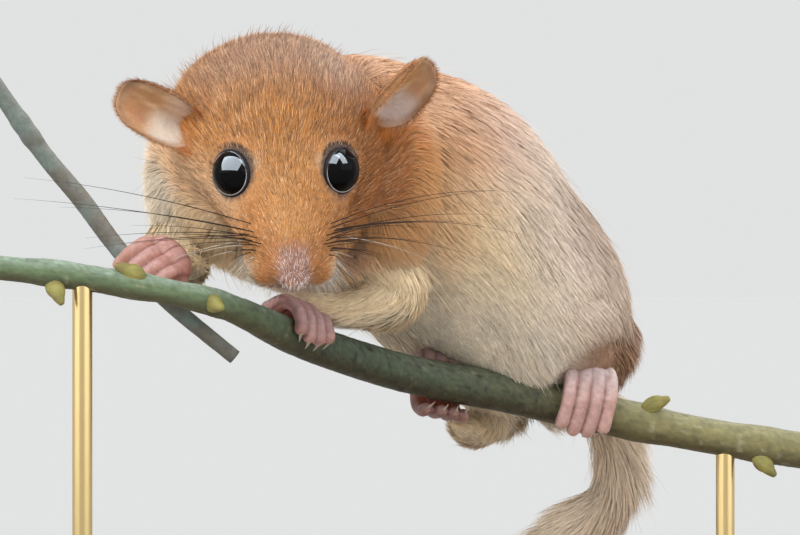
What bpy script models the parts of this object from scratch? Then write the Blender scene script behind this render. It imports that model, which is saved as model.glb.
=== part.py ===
"""Hazel dormouse gripping a cut branch, as a still, life-size model on a plain stand.

Places are in millimetres from the point midway between the eyes, with X to the viewer's
right, Y away from the viewer and Z up. STAND_SHIFT carries them into the stand's frame,
whose origin is the middle of the base's underside. Left and right are the animal's own.
"""

import math

import bmesh
import bpy
import numpy as np
from mathutils import Vector

MM = 0.001
GAP = 0.3
STAND_SHIFT = np.array([-13.0, -19.0, 78.5])
UP = np.array([0.0, 0.0, 1.0])

# Head: how it is turned, and its parts in millimetres forward, up and to the side
HEAD_YAW = 9.0
HEAD_PITCH = 42.0
HEAD_ROLL = 2.4
HEAD_PROFILE = [
    # forward, top, bottom, half width
    (-15.2, 4.6, -8.8, 9.6),
    (-12.0, 5.7, -9.4, 10.7),
    (-8.5, 5.9, -9.6, 11.0),
    (-5.0, 5.1, -9.4, 10.1),
    (-2.0, 3.9, -9.0, 8.4),
    (0.5, 2.6, -8.6, 7.2),
    (3.0, 1.0, -8.2, 6.2),
    (5.5, -0.5, -7.8, 5.3),
    (7.6, -1.7, -7.3, 4.3),
    (9.4, -2.9, -6.7, 3.0),
]
HEAD_LEAN = 0.1
EYE_RADIUS = 2.4
EYE_FORWARD = -0.4
EYE_UP = -0.2
EYE_SIDE = 5.0
EYE_LOOK = (0.6, 0.25, 0.75)
LID_RADIUS = 2.45
LID_THICKNESS = 0.55
LID_STAND_OFF = 1.0
NOSE_CENTRE = (10.2, -4.6)
NOSE_SIZE = (1.5, 1.35, 2.2)
NOSTRIL_SIDE = 1.0
NOSTRIL_RADIUS = 0.4
WHISKER_PAD = ((6.8, -5.2, 2.9), (3.4, 2.1, 2.9))
LOWER_LIP = ((6.6, -7.6, 0.0), (2.6, 1.3, 2.6))
MOUTH_RADIUS = 0.3
MOUTH_PATH = [(3.6, -7.0, 5.2), (6.2, -7.2, 4.3), (8.6, -7.0, 2.2), (9.7, -6.6, 0.0)]

# Ears: a rounded cup on each side, its root, long way and opening in the head's terms
EAR_LENGTH = 9.2
EAR_WIDTH = 7.2
EAR_THICKNESS = 0.7
EAR_CUP = 1.7
EAR_RIGHT_ROOT = (-6.5, 0.4, 8.2)
EAR_LEFT_ROOT = (-6.6, 0.6, 9.0)
EAR_RIGHT_WAY = (-0.28, 0.3, 0.92)
EAR_RIGHT_OPENING = (0.75, 0.62, 0.1)
EAR_LEFT_WAY = (-0.22, 0.72, 0.6)
EAR_LEFT_OPENING = (0.8, 0.2, 0.45)

# Trunk: x, y, z, half width to the side, height above and depth below the middle line
TRUNK = [
    (0.5, 8.0, 1.0, 10.0, 10.0, 10.0),
    (-0.2, 13.0, 0.5, 14.0, 12.2, 11.6),
    (2.2, 17.5, -0.5, 14.8, 14.0, 12.0),
    (7.0, 21.5, -2.0, 14.6, 15.2, 12.4),
    (13.5, 25.5, -5.0, 14.4, 16.2, 12.6),
    (19.5, 28.5, -10.0, 13.9, 14.3, 12.6),
    (25.0, 30.5, -15.5, 12.6, 12.7, 11.4),
    (29.2, 32.7, -20.0, 9.0, 9.9, 7.4),
]
TRUNK_SPLIT = 0.5

# Legs: x, y, z and radius
RIGHT_ARM = [(-9.5, 15.0, -4.0, 4.6), (-11.5, 12.0, -8.0, 3.8), (-10.4, 8.0, -9.4, 2.5), (-9.6, 5.6, -9.2, 1.9)]
LEFT_ARM = [(9.0, 14.0, -8.0, 4.4), (10.5, 12.5, -12.0, 3.6), (7.0, 10.4, -13.6, 2.4), (3.6, 9.6, -13.6, 1.8)]
LEFT_THIGH = [
    (24.0, 26.5, -11.0, 5.4, 5.4, 5.0),
    (28.0, 25.2, -15.0, 7.2, 6.8, 5.6),
    (31.0, 27.2, -18.8, 5.0, 4.6, 4.4),
]
RIGHT_THIGH = [
    (17.0, 37.0, -12.0, 5.4, 5.4, 5.0),
    (20.0, 37.0, -17.5, 6.8, 6.4, 5.6),
    (22.5, 34.0, -23.2, 5.0, 4.6, 4.4),
]
RIGHT_SHANK = [(21.5, 32.5, -25.0, 3.0), (19.5, 29.2, -27.0, 2.2), (18.0, 26.6, -26.4, 1.9)]

# Feet: where each grips its perch, its toes' angles and distances round it, and its sole
FEET = {
    "forepaw_right": {
        "perch": "TWIG", "x": -14.4, "start": (1.0, 0.2, 0.4), "over": (0.0, -1.0, 0.0),
        "arc": [(-5, 2.7), (30, 2.5), (65, 2.1), (105, 1.85), (150, 1.8)],
        "toe_ends": (138, 150, 150, 136), "pitch": 1.45, "toe_radius": 0.7,
        "sole_way": (1.0, -0.1), "sole_distance": 3.1, "sole_radii": (3.0, 2.1, 1.9),
    },
    "forepaw_left": {
        "perch": "BRANCH", "x": 0.6, "start": (0.0, 0.2, 1.0), "over": (0.0, -1.0, 0.0),
        "arc": [(-38, 3.2), (0, 3.25), (35, 2.95), (70, 2.75), (100, 2.7)],
        "toe_ends": (92, 102, 100, 88), "pitch": 1.4, "toe_radius": 0.7,
        "sole_way": (1.0, -0.9), "sole_distance": 3.4, "sole_radii": (2.8, 1.4, 2.4),
    },
    "hindfoot_left": {
        "perch": "BRANCH", "x": 30.5, "start": (0.0, 0.0, 1.0), "over": (0.0, -1.0, 0.0),
        "arc": [(-45, 4.2), (-5, 4.3), (35, 3.8), (75, 3.15), (115, 3.0), (140, 3.0)],
        "toe_ends": (128, 142, 138, 120), "pitch": 1.52, "toe_radius": 0.74,
        "sole_way": (1.0, -0.75), "sole_distance": 4.4, "sole_radii": (3.0, 1.7, 3.4),
    },
    "hindfoot_right": {
        "perch": "BRANCH", "x": 16.6, "start": (0.0, 0.6, 0.8), "over": (0.0, 0.5, -1.0),
        "arc": [(10, 3.3), (50, 3.7), (90, 4.0), (120, 3.7), (150, 3.1)],
        "toe_ends": (140, 152, 150, 138), "pitch": 1.45, "toe_radius": 0.7,
        "sole_way": (0.45, 1.0), "sole_distance": 4.4, "sole_radii": (2.6, 1.6, 3.0),
    },
}

# Tail: x, y, z and the radius out to the tips of its hair
TAIL = [
    (30.5, 34.0, -20.0, 3.6),
    (34.2, 36.5, -26.5, 3.5),
    (35.0, 37.6, -33.0, 3.8),
    (31.6, 37.8, -37.4, 4.1),
    (26.8, 37.0, -42.0, 4.3),
    (22.0, 35.6, -47.0, 4.3),
    (18.0, 34.2, -53.0, 4.2),
    (14.2, 33.0, -58.6, 3.9),
    (9.8, 32.2, -62.6, 3.3),
    (5.4, 31.4, -64.4, 2.2),
]
TAIL_SPLITS = (0.36, 0.68)

# Perch: x, y, z and radius of the branch and of the thin twig that crosses behind it
BRANCH = [
    (-32.0, -6.4, -9.3, 1.2),
    (-28.3, -6.0, -9.5, 1.2),
    (-18.4, -5.0, -10.7, 1.3),
    (-7.1, -2.0, -13.0, 1.3),
    (1.3, 8.0, -16.9, 1.85),
    (11.8, 17.0, -20.5, 2.0),
    (22.5, 22.0, -22.7, 2.1),
    (31.9, 25.0, -24.9, 2.1),
    (44.0, 26.0, -27.4, 1.85),
    (58.0, 27.3, -29.6, 2.0),
]
BUDS = [(-22.8, -6.2, -11.2), (-14.6, -5.2, -10.2), (-7.4, -3.2, -13.0), (37.8, 24.4, -24.3), (49.6, 25.4, -30.0)]
BUD_WAYS = [(0.4, -0.4, -0.8), (-0.9, -0.1, 0.4), (0.5, -0.8, -0.2), (0.9, -0.1, 0.4), (0.7, -0.1, -0.7)]
TWIG = [
    (-30.4, 8.2, 9.7, 0.9),
    (-25.0, 6.6, 2.2, 0.9),
    (-21.0, 5.0, -2.5, 0.95),
    (-17.7, 3.0, -6.8, 0.9),
    (-15.4, 1.4, -9.4, 0.85),
    (-13.0, 0.3, -11.8, 0.85),
    (-10.4, -0.2, -14.2, 0.8),
    (-5.2, 0.6, -18.5, 0.75),
]

# Stand: a flat base and two short rods up to the branch
BASE_SIZE = (100.0, 64.0, 6.0)
BASE_CORNER = 8.0
BASE_BEVEL = 0.8
ROD_RADIUS = 1.0
COLLAR_RADIUS = 2.2
COLLAR_HEIGHT = 1.6
ROD_LEFT_X = -20.0
ROD_RIGHT_X = 46.0

PERCHES = {"BRANCH": BRANCH, "TWIG": TWIG}

COLOURS = {
    "fur": (0.55, 0.26, 0.08),
    "tail": (0.56, 0.32, 0.15),
    "skin": (0.55, 0.28, 0.25),
    "eye": (0.01, 0.01, 0.012),
    "bark": (0.28, 0.27, 0.12),
    "twig": (0.2, 0.15, 0.12),
    "wood": (0.22, 0.12, 0.06),
    "brass": (0.62, 0.47, 0.22),
}


def clear_scene():
    """Removes every object, so that the file starts empty."""
    for obj in list(bpy.data.objects):
        bpy.data.objects.remove(obj, do_unlink=True)


def unit(vector):
    """Returns the vector at length one."""
    vector = np.asarray(vector, float)
    return vector / np.linalg.norm(vector)


def head_axes():
    """Returns the head's forward, up and left-side directions as it is turned."""
    yaw, pitch, roll = (math.radians(a) for a in (HEAD_YAW, HEAD_PITCH, HEAD_ROLL))
    forward = np.array([math.sin(yaw) * math.cos(pitch), -math.cos(yaw) * math.cos(pitch), -math.sin(pitch)])
    up = np.array([math.sin(yaw) * math.sin(pitch), -math.cos(yaw) * math.sin(pitch), math.cos(pitch)])
    side = np.array([math.cos(yaw), math.sin(yaw), 0.0])
    return (
        forward,
        up * math.cos(roll) - side * math.sin(roll),
        side * math.cos(roll) + up * math.sin(roll),
    )


FORWARD, HEAD_UP, SIDE = head_axes()


def in_head(forward, up, side):
    """Turns a place or direction in the head's own terms into model axes."""
    return FORWARD * forward + HEAD_UP * up + SIDE * side


def smooth_rows(rows, count, start=0.0, end=1.0):
    """Reads count rows at even steps along a smooth curve through the given rows.

    The first three numbers of a row are its place. start and end are fractions of the length.
    """
    rows = np.asarray(rows, float)
    padded = np.vstack([2 * rows[0] - rows[1], rows, 2 * rows[-1] - rows[-2]])
    fine = []
    for before, here, after, beyond in zip(padded, padded[1:], padded[2:], padded[3:]):
        for t in np.linspace(0.0, 1.0, 16, endpoint=False):
            square = (2 * before - 5 * here + 4 * after - beyond) * t**2
            cube = (3 * here - before - 3 * after + beyond) * t**3
            fine.append(0.5 * (2 * here + (after - before) * t + square + cube))
    fine = np.vstack([fine, rows[-1]])
    along = np.concatenate([[0.0], np.cumsum(np.linalg.norm(np.diff(fine[:, :3], axis=0), axis=1))])
    wanted = np.linspace(start, end, count) * along[-1]
    return np.column_stack([np.interp(wanted, along, column) for column in fine.T])


def make_object(name, points, faces):
    """Makes a closed mesh object from places in millimetres, with its faces pointing out."""
    mesh = bpy.data.meshes.new(name)
    world = (np.asarray(points) + STAND_SHIFT) * MM
    mesh.from_pydata([tuple(p) for p in world], [], faces)
    work = bmesh.new()
    work.from_mesh(mesh)
    bmesh.ops.recalc_face_normals(work, faces=work.faces)
    work.to_mesh(mesh)
    work.free()
    obj = bpy.data.objects.new(name, mesh)
    bpy.context.scene.collection.objects.link(obj)
    return obj


def stitch_rings(rings, first, last):
    """Joins rings of points into a closed skin, with a pole point or a flat face at each end."""
    sides = len(rings[0])
    points = [p for ring in rings for p in ring]
    faces = []
    for r in range(len(rings) - 1):
        for s in range(sides):
            t = (s + 1) % sides
            faces.append((r * sides + s, r * sides + t, (r + 1) * sides + t, (r + 1) * sides + s))
    for pole, base in ((first, 0), (last, (len(rings) - 1) * sides)):
        if pole is None:
            faces.append(tuple(range(base, base + sides)))
            continue
        points.append(pole)
        for s in range(sides):
            faces.append((base + s, base + (s + 1) % sides, len(points) - 1))
    return points, faces


def loft(name, rows, sides, up=UP, domes=(0.8, 0.8), grow=0.0, lean=0.0, dome_rings=3, ways=(None, None)):
    """Lofts rounded sections along rows of x, y, z and sizes, with domed or flat ends.

    A row's sizes are one radius, or half width, height above and depth below. lean makes
    the upper side narrower than the lower. A dome of 0 leaves that end flat, and ways may
    give the directions that the two end sections face.
    """
    rows = np.asarray(rows, float)
    centres = rows[:, :3]
    sizes = (rows[:, 3:] if rows.shape[1] > 4 else np.repeat(rows[:, 3:4], 3, axis=1)) + grow
    tangents = np.gradient(centres, axis=0)
    for index, way in ((0, ways[0]), (-1, ways[1])):
        if way is not None:
            tangents[index] = way
    angles = np.arange(sides) * 2 * math.pi / sides

    def ring(index, scale, shift):
        tangent = unit(tangents[index])
        across = unit(np.cross(tangent, up))
        over = np.cross(across, tangent)
        half, above, below = sizes[index] * scale
        middle = centres[index] + tangent * shift
        wide = half * np.cos(angles) * (1.0 - lean * np.sin(angles))
        high = np.where(np.sin(angles) > 0, above, below) * np.sin(angles)
        return middle + wide[:, None] * across + high[:, None] * over

    def dome(index, amount, sign):
        reach = amount * sizes[index].mean()
        steps = [(k + 1) * math.pi / 2 / (dome_rings + 1) for k in range(dome_rings)]
        rings = [ring(index, math.cos(a), sign * reach * math.sin(a)) for a in steps]
        return rings, centres[index] + unit(tangents[index]) * sign * reach

    rings = [ring(i, 1.0, 0.0) for i in range(len(rows))]
    first = last = None
    if domes[0]:
        extra, first = dome(0, domes[0], -1.0)
        rings = extra[::-1] + rings
    if domes[1]:
        extra, last = dome(len(rows) - 1, domes[1], 1.0)
        rings = rings + extra
    return make_object(name, *stitch_rings(rings, first, last))


def split_loft(names, rows, splits, count, sides, up=UP, domes=(0.0, 0.0)):
    """Lofts one form in several lengths, whose flat ends face each other a gap apart."""
    length = np.linalg.norm(np.diff(smooth_rows(rows, 80)[:, :3], axis=0), axis=1).sum()
    half_gap = GAP / 2 / length
    bounds = [0.0, *splits, 1.0]
    parts = {}
    for name, start, end in zip(names, bounds, bounds[1:]):
        ways = []
        for bound in (start, end):
            near = smooth_rows(rows, 2, bound - 0.01, bound + 0.01)[:, :3]
            ways.append(near[1] - near[0] if 0.0 < bound < 1.0 else None)
        low = start + (half_gap if start > 0.0 else 0.0)
        high = end - (half_gap if end < 1.0 else 0.0)
        own_domes = (domes[0] if start == 0.0 else 0.0, domes[1] if end == 1.0 else 0.0)
        path = smooth_rows(rows, count, low, high)
        parts[name] = loft(name, path, sides, up=up, domes=own_domes, ways=ways)
    return parts


def ellipsoid(name, centre, axes, radii, segments=14, rings=8):
    """Makes a ball squashed to three radii along three perpendicular directions."""
    bpy.ops.mesh.primitive_uv_sphere_add(segments=segments, ring_count=rings, radius=1.0)
    obj = bpy.context.active_object
    obj.name = name
    frame = np.array([unit(a) * r for a, r in zip(axes, radii)])
    for vertex in obj.data.vertices:
        place = centre + np.array(vertex.co) @ frame
        vertex.co = Vector((place + STAND_SHIFT) * MM)
    work = bmesh.new()
    work.from_mesh(obj.data)
    bmesh.ops.recalc_face_normals(work, faces=work.faces)
    work.to_mesh(obj.data)
    work.free()
    return obj


def head_ellipsoid(name, centre, radii, grow=0.0, segments=14, rings=8):
    """Makes an ellipsoid whose centre and radii are in the head's terms."""
    radii = [r + grow for r in radii]
    return ellipsoid(name, in_head(*centre), (FORWARD, HEAD_UP, SIDE), radii, segments, rings)


def apply_modifiers(obj):
    """Keeps the object's evaluated shape as its own mesh."""
    graph = bpy.context.evaluated_depsgraph_get()
    mesh = bpy.data.meshes.new_from_object(obj.evaluated_get(graph))
    obj.modifiers.clear()
    obj.data = mesh


def is_closed(obj):
    """Tells whether the object's evaluated shape has two faces at every edge."""
    graph = bpy.context.evaluated_depsgraph_get()
    evaluated = obj.evaluated_get(graph)
    work = bmesh.new()
    work.from_mesh(evaluated.to_mesh())
    evaluated.to_mesh_clear()
    closed = all(len(edge.link_faces) == 2 for edge in work.edges)
    work.free()
    return closed


def keep_largest(obj):
    """Leaves only the closed surface of the object that holds the most."""
    work = bmesh.new()
    work.from_mesh(obj.data)
    left = set(work.faces)
    shells = []
    while left:
        stack = [left.pop()]
        shell = set(stack)
        while stack:
            for edge in stack.pop().edges:
                for face in edge.link_faces:
                    if face in left:
                        left.remove(face)
                        shell.add(face)
                        stack.append(face)
        shells.append(shell)

    def volume(shell):
        total = 0.0
        for face in shell:
            corners = [v.co for v in face.verts]
            for b, c in zip(corners[1:], corners[2:]):
                total += corners[0].dot(b.cross(c)) / 6.0
        return total

    largest = max(shells, key=volume)
    drop = [face for face in work.faces if face not in largest]
    bmesh.ops.delete(work, geom=drop, context="FACES")
    loose = [v for v in work.verts if not v.link_faces]
    bmesh.ops.delete(work, geom=loose, context="VERTS")
    work.to_mesh(obj.data)
    work.free()


def combine(obj, others, operation):
    """Joins the other objects to this one, or cuts them from it, and removes them."""
    group = bpy.data.collections.new(obj.name + "_pieces")
    for other in others:
        group.objects.link(other)
    modifier = obj.modifiers.new(operation.title(), "BOOLEAN")
    modifier.operation = operation
    modifier.operand_type = "COLLECTION"
    modifier.collection = group
    modifier.solver = "EXACT"
    if not is_closed(obj):
        modifier.solver = "MANIFOLD"
    apply_modifiers(obj)
    for other in others:
        bpy.data.objects.remove(other, do_unlink=True)
    bpy.data.collections.remove(group)
    keep_largest(obj)
    return obj


def join(obj, others):
    """Makes one solid of the object and the others."""
    return combine(obj, others, "UNION")


def cut(obj, cutters):
    """Takes the cutters away from the object."""
    return combine(obj, cutters, "DIFFERENCE")


def head_rows(count):
    """Returns the head's sections, from the back of the skull to the muzzle."""
    rows = []
    for forward, top, bottom, half in HEAD_PROFILE:
        middle = in_head(forward, (top + bottom) / 2, 0.0)
        height = (top - bottom) / 2
        rows.append((*middle, half, height, height))
    return smooth_rows(rows, count)


def head_form(name, grow=0.0, rings=20, sides=30):
    """Makes the head's plain form, without eyes, nose or lips."""
    return loft(name, head_rows(rings), sides, up=HEAD_UP, domes=(0.55, 0.75), grow=grow, lean=HEAD_LEAN)


def eye_centre(sign):
    """Returns the middle of the eyeball; sign is 1 for the left eye and -1 for the right."""
    return in_head(EYE_FORWARD, EYE_UP, EYE_SIDE * sign)


def eye_look(sign):
    """Returns the direction that the eye bulges in."""
    forward, up, side = EYE_LOOK
    return unit(in_head(forward, up, side * sign))


def eye_ball(name, sign, grow=0.0):
    """Makes an eyeball."""
    radii = [EYE_RADIUS + grow] * 3
    return ellipsoid(name, eye_centre(sign), (SIDE, FORWARD, HEAD_UP), radii, 16, 11)


def closed_ring(name, centre, normal, radius, thickness, steps=22, sides=6):
    """Makes a ring of round section about a direction."""
    bpy.ops.mesh.primitive_torus_add(
        major_segments=steps, minor_segments=sides, major_radius=radius, minor_radius=thickness
    )
    obj = bpy.context.active_object
    obj.name = name
    turn = Vector(normal).to_track_quat("Z", "Y").to_matrix()
    for vertex in obj.data.vertices:
        place = np.array(turn @ vertex.co) + centre
        vertex.co = Vector((place + STAND_SHIFT) * MM)
    return obj


def nose_form(name, grow=0.0):
    """Makes the nose pad at the muzzle's tip."""
    return head_ellipsoid(name, (*NOSE_CENTRE, 0.0), NOSE_SIZE, grow, 16, 9)


def mouth_groove(name):
    """Makes the tube that cuts the line of the mouth round the muzzle."""
    half = [in_head(*p) for p in MOUTH_PATH]
    other = [in_head(forward, up, -side) for forward, up, side in MOUTH_PATH[-2::-1]]
    rows = [(*p, MOUTH_RADIUS) for p in half + other]
    return loft(name, smooth_rows(rows, 15), 5, up=HEAD_UP, dome_rings=1)


def build_head():
    """Makes the head with lids, lips, chin and mouth line, and the pieces set into it."""
    pieces = []
    for sign in (-1, 1):
        centre, size = WHISKER_PAD
        pad = (centre[0], centre[1], centre[2] * sign)
        pieces.append(head_ellipsoid("pad", pad, size))
        look = eye_look(sign)
        lid_centre = eye_centre(sign) + look * LID_STAND_OFF
        pieces.append(closed_ring("lid", lid_centre, look, LID_RADIUS, LID_THICKNESS))
    pieces.append(head_ellipsoid("lip", *LOWER_LIP))
    head = join(head_form("head"), pieces)
    cutters = [eye_ball("socket", sign, GAP) for sign in (-1, 1)]
    cut(head, cutters + [nose_form("nose_seat", GAP), mouth_groove("mouth")])
    nose = nose_form("nose")
    nostrils = []
    for sign in (-1, 1):
        centre = in_head(NOSE_CENTRE[0] + NOSE_SIZE[0] * 0.8, NOSE_CENTRE[1] - 0.35, NOSTRIL_SIDE * sign)
        axes = (FORWARD, HEAD_UP, SIDE)
        nostrils.append(ellipsoid("nostril", centre, axes, (0.8, NOSTRIL_RADIUS, NOSTRIL_RADIUS * 1.3), 10, 6))
    cut(nose, nostrils)
    return {"head": head, "nose": nose, "eye_right": eye_ball("eye_right", -1), "eye_left": eye_ball("eye_left", 1)}


def build_ear(name, sign, root, way, opening, rings=5, steps=24):
    """Makes one ear as a thin rounded cup, and trims its root to the head."""
    root = in_head(root[0], root[1], root[2] * sign)
    long_way = unit(in_head(way[0], way[1], way[2] * sign))
    toward = in_head(opening[0], opening[1], opening[2] * sign)
    toward = unit(toward - long_way * np.dot(toward, long_way))
    across = np.cross(long_way, toward)

    def sheet(face):
        places = []
        for r in range(rings, 0, -1):
            radius = r / rings
            for s in range(steps):
                angle = 2 * math.pi * s / steps
                up = 0.5 + 0.5 * radius * math.sin(angle)
                half = EAR_WIDTH / 2 * (0.72 + 0.28 * min(1.0, up * 1.6))
                wide = radius * math.cos(angle) * half
                curl = EAR_CUP * (wide / (EAR_WIDTH / 2)) ** 2 + 0.9 * up**2 - 0.4
                thick = EAR_THICKNESS * (0.35 + 0.65 * math.sqrt(1.0 - radius**2)) / 2
                places.append(root + long_way * up * EAR_LENGTH + across * wide + toward * (curl + face * thick))
        middle = root + long_way * 0.5 * EAR_LENGTH + toward * (0.9 * 0.25 - 0.4 + face * EAR_THICKNESS / 2)
        return places, middle

    back, back_middle = sheet(-1.0)
    front, front_middle = sheet(1.0)
    back_rings = [back[i * steps:(i + 1) * steps] for i in range(rings)][::-1]
    front_rings = [front[i * steps:(i + 1) * steps] for i in range(rings)]
    ear = make_object(name, *stitch_rings(back_rings + front_rings, back_middle, front_middle))
    return cut(ear, [head_form("skull", GAP)])


def trunk_form(name, grow=0.0):
    """Makes the trunk in one piece, for cutting its neighbours."""
    return loft(name, smooth_rows(TRUNK, 20), 28, grow=grow, domes=(0.7, 0.6))


def leg_form(name, rows, count=7, sides=14, grow=0.0, domes=(0.8, 0.6), up=UP):
    """Makes one length of a leg."""
    return loft(name, smooth_rows(rows, count), sides, up=up, domes=domes, grow=grow, dome_rings=2)


def branch_form(name, grow=0.0, rings=26, sides=12):
    """Makes the branch."""
    return loft(name, smooth_rows(BRANCH, rings), sides, domes=(0.0, 0.0), grow=grow)


def twig_form(name, grow=0.0):
    """Makes the thin twig."""
    return loft(name, smooth_rows(TWIG, 14), 9, domes=(0.0, 0.0), grow=grow)


def nearest_fraction(rows, x):
    """Returns how far along a perch its middle line has the given X."""
    path = smooth_rows(rows, 101)
    return float(np.argmin(np.abs(path[:, 0] - x))) / 100


def perch_frame(rows, x, start_hint, over_hint):
    """Returns a place on a perch, its direction, and two directions square to it near the hints."""
    path = smooth_rows(rows, 101)
    index = round(nearest_fraction(rows, x) * 100)
    along = unit(path[min(index + 1, 100), :3] - path[max(index - 1, 0), :3])
    start = unit(np.asarray(start_hint, float) - along * np.dot(start_hint, along))
    over = np.cross(start, along)
    return path[index, :3], along, start, over if np.dot(over, over_hint) > 0 else -over


def toe(name, base, along, start, over, stations, radius, grow):
    """Makes one toe through stations of angle and distance round the perch."""
    places = []
    for angle, distance in stations:
        turned = math.radians(angle)
        places.append(base + distance * (math.cos(turned) * start + math.sin(turned) * over))
    rows = [(*p, radius) for p in places]
    rows[0] = (*places[0], radius * 1.15)
    rows[-1] = (*places[-1], radius * 0.88)
    made = loft(f"{name}_toe", smooth_rows(rows, 6), 7, up=along, dome_rings=1, grow=grow)
    return made, places


def claw(name, base, along, places, radius):
    """Makes the small claw at a toe's end."""
    ahead = unit(places[-1] - places[-2])
    inward = unit(base - places[-1])
    tip = places[-1] + ahead * radius * 1.1
    rows = [
        (*(places[-1] + ahead * radius * 0.2), radius * 0.42),
        (*tip, radius * 0.34),
        (*(tip + ahead * radius * 0.5 + inward * radius * 0.5), radius * 0.14),
    ]
    return loft(f"{name}_claw", rows, 5, up=along, dome_rings=1)


def foot_pieces(name, grow=0.0):
    """Makes the pieces of a foot that wraps round a perch: the sole first, then toes and claws."""
    foot = FEET[name]
    place, along, start, over = perch_frame(PERCHES[foot["perch"]], foot["x"], foot["start"], foot["over"])
    way, distance = foot["sole_way"], foot["sole_distance"]
    back = unit(start * way[0] + over * way[1])
    axes = (along, back, np.cross(along, back))
    radii = [r + grow for r in foot["sole_radii"]]
    pieces = [ellipsoid(name, place + back * distance, axes, radii, 16, 9)]
    count = len(foot["toe_ends"])
    for number, end in enumerate(foot["toe_ends"]):
        base = place + along * (number - (count - 1) / 2) * foot["pitch"]
        stations = [s for s in foot["arc"] if s[0] < end - 8] + [(end, foot["arc"][-1][1])]
        made, places = toe(name, base, along, start, over, stations, foot["toe_radius"], grow)
        pieces.append(made)
        if not grow:
            pieces.append(claw(name, base, along, places, foot["toe_radius"]))
    return pieces


def foot_hull(name):
    """Makes the room that a foot takes up, as one rounded hull a gap larger than the foot."""
    work = bmesh.new()
    for piece in foot_pieces(name, GAP):
        work.from_mesh(piece.data)
        bpy.data.objects.remove(piece, do_unlink=True)
    hull = bmesh.ops.convex_hull(work, input=work.verts)
    inner = [g for g in hull["geom_interior"] + hull["geom_unused"] if isinstance(g, bmesh.types.BMVert)]
    bmesh.ops.delete(work, geom=list(set(inner)), context="VERTS")
    kept = {f for f in hull["geom"] if f.is_valid and isinstance(f, bmesh.types.BMFace)}
    bmesh.ops.delete(work, geom=[f for f in work.faces if f not in kept], context="FACES_ONLY")
    mesh = bpy.data.meshes.new(f"{name}_hull")
    work.to_mesh(mesh)
    work.free()
    room = bpy.data.objects.new(mesh.name, mesh)
    bpy.context.scene.collection.objects.link(room)
    return room


def build_foot(name, cutters):
    """Makes one foot and trims it to what it meets."""
    sole, *others = foot_pieces(name)
    return cut(join(sole, others), cutters)


def thigh_form(name, rows, grow=0.0):
    """Makes a thigh."""
    return loft(name, smooth_rows(rows, 6), 16, up=(1.0, 0.0, 0.3), domes=(0.75, 0.75), grow=grow)


def build_trunk():
    """Makes the trunk in two lengths that meet across the back."""
    parts = split_loft(["torso_front", "torso_rear"], TRUNK, [TRUNK_SPLIT], 11, 30, domes=(0.7, 0.6))
    cut(parts["torso_front"], [head_form("h", GAP), branch_form("b", GAP)])
    cutters = [thigh_form("l", LEFT_THIGH, GAP), thigh_form("r", RIGHT_THIGH, GAP), branch_form("b", GAP)]
    cut(parts["torso_rear"], cutters + [foot_hull("hindfoot_left")])
    return parts


def build_legs():
    """Makes the arms, thighs, far shank and feet, each fitted to what it meets."""
    parts = {
        "arm_right": leg_form("arm_right", RIGHT_ARM),
        "arm_left": leg_form("arm_left", LEFT_ARM),
        "thigh_left": thigh_form("thigh_left", LEFT_THIGH),
        "thigh_right": thigh_form("thigh_right", RIGHT_THIGH),
        "shank_right": leg_form("shank_right", RIGHT_SHANK),
    }
    for side, perch in (("right", twig_form), ("left", branch_form)):
        cutters = [trunk_form("t", GAP), head_form("h", GAP), perch("p", GAP)]
        cut(parts[f"arm_{side}"], cutters + [foot_hull(f"forepaw_{side}")])
    cut(parts["thigh_left"], [branch_form("b", GAP), foot_hull("hindfoot_left")])
    cut(parts["thigh_right"], [branch_form("b", GAP)])
    cutters = [thigh_form("th", RIGHT_THIGH, GAP), trunk_form("t", GAP), branch_form("b", GAP)]
    cut(parts["shank_right"], cutters + [foot_hull("hindfoot_right")])
    parts["forepaw_right"] = build_foot("forepaw_right", [twig_form("t", GAP), branch_form("b", GAP)])
    parts["forepaw_left"] = build_foot("forepaw_left", [branch_form("b", GAP), trunk_form("t", GAP)])
    parts["hindfoot_left"] = build_foot("hindfoot_left", [branch_form("b", GAP)])
    cutters = [branch_form("b", GAP), thigh_form("th", RIGHT_THIGH, GAP), trunk_form("t", GAP)]
    parts["hindfoot_right"] = build_foot("hindfoot_right", cutters)
    return parts


def build_tail():
    """Makes the hanging tail in three lengths."""
    names = ["tail_base", "tail_middle", "tail_tip"]
    parts = split_loft(names, TAIL, TAIL_SPLITS, 9, 12, up=(0.0, 1.0, 0.2), domes=(0.0, 1.0))
    cut(parts["tail_base"], [trunk_form("t", GAP), thigh_form("th", LEFT_THIGH, GAP)])
    return parts


def build_perch():
    """Makes the cut branch with its buds, and the twig that crosses behind it."""
    branch = branch_form("perch_branch")
    buds = []
    for place, way in zip(BUDS, BUD_WAYS):
        start = np.asarray(place) - unit(way) * 0.6
        rows = [(*(start + unit(way) * step), radius) for step, radius in ((0.0, 1.0), (1.1, 1.0), (2.4, 0.45))]
        buds.append(loft("bud", rows, 7, up=(0.0, 1.0, 0.1), dome_rings=1))
    join(branch, buds)
    twig = cut(twig_form("perch_twig"), [branch_form("b", GAP)])
    return {"perch_branch": branch, "perch_twig": twig}


def cylinder(name, x, y, bottom, top, radius, segments=16):
    """Makes an upright cylinder between two heights."""
    height = (top - bottom) * MM
    centre = (np.array([x, y, (top + bottom) / 2]) + STAND_SHIFT) * MM
    bpy.ops.mesh.primitive_cylinder_add(vertices=segments, radius=radius * MM, depth=height, location=centre)
    obj = bpy.context.active_object
    obj.name = name
    return obj


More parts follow.
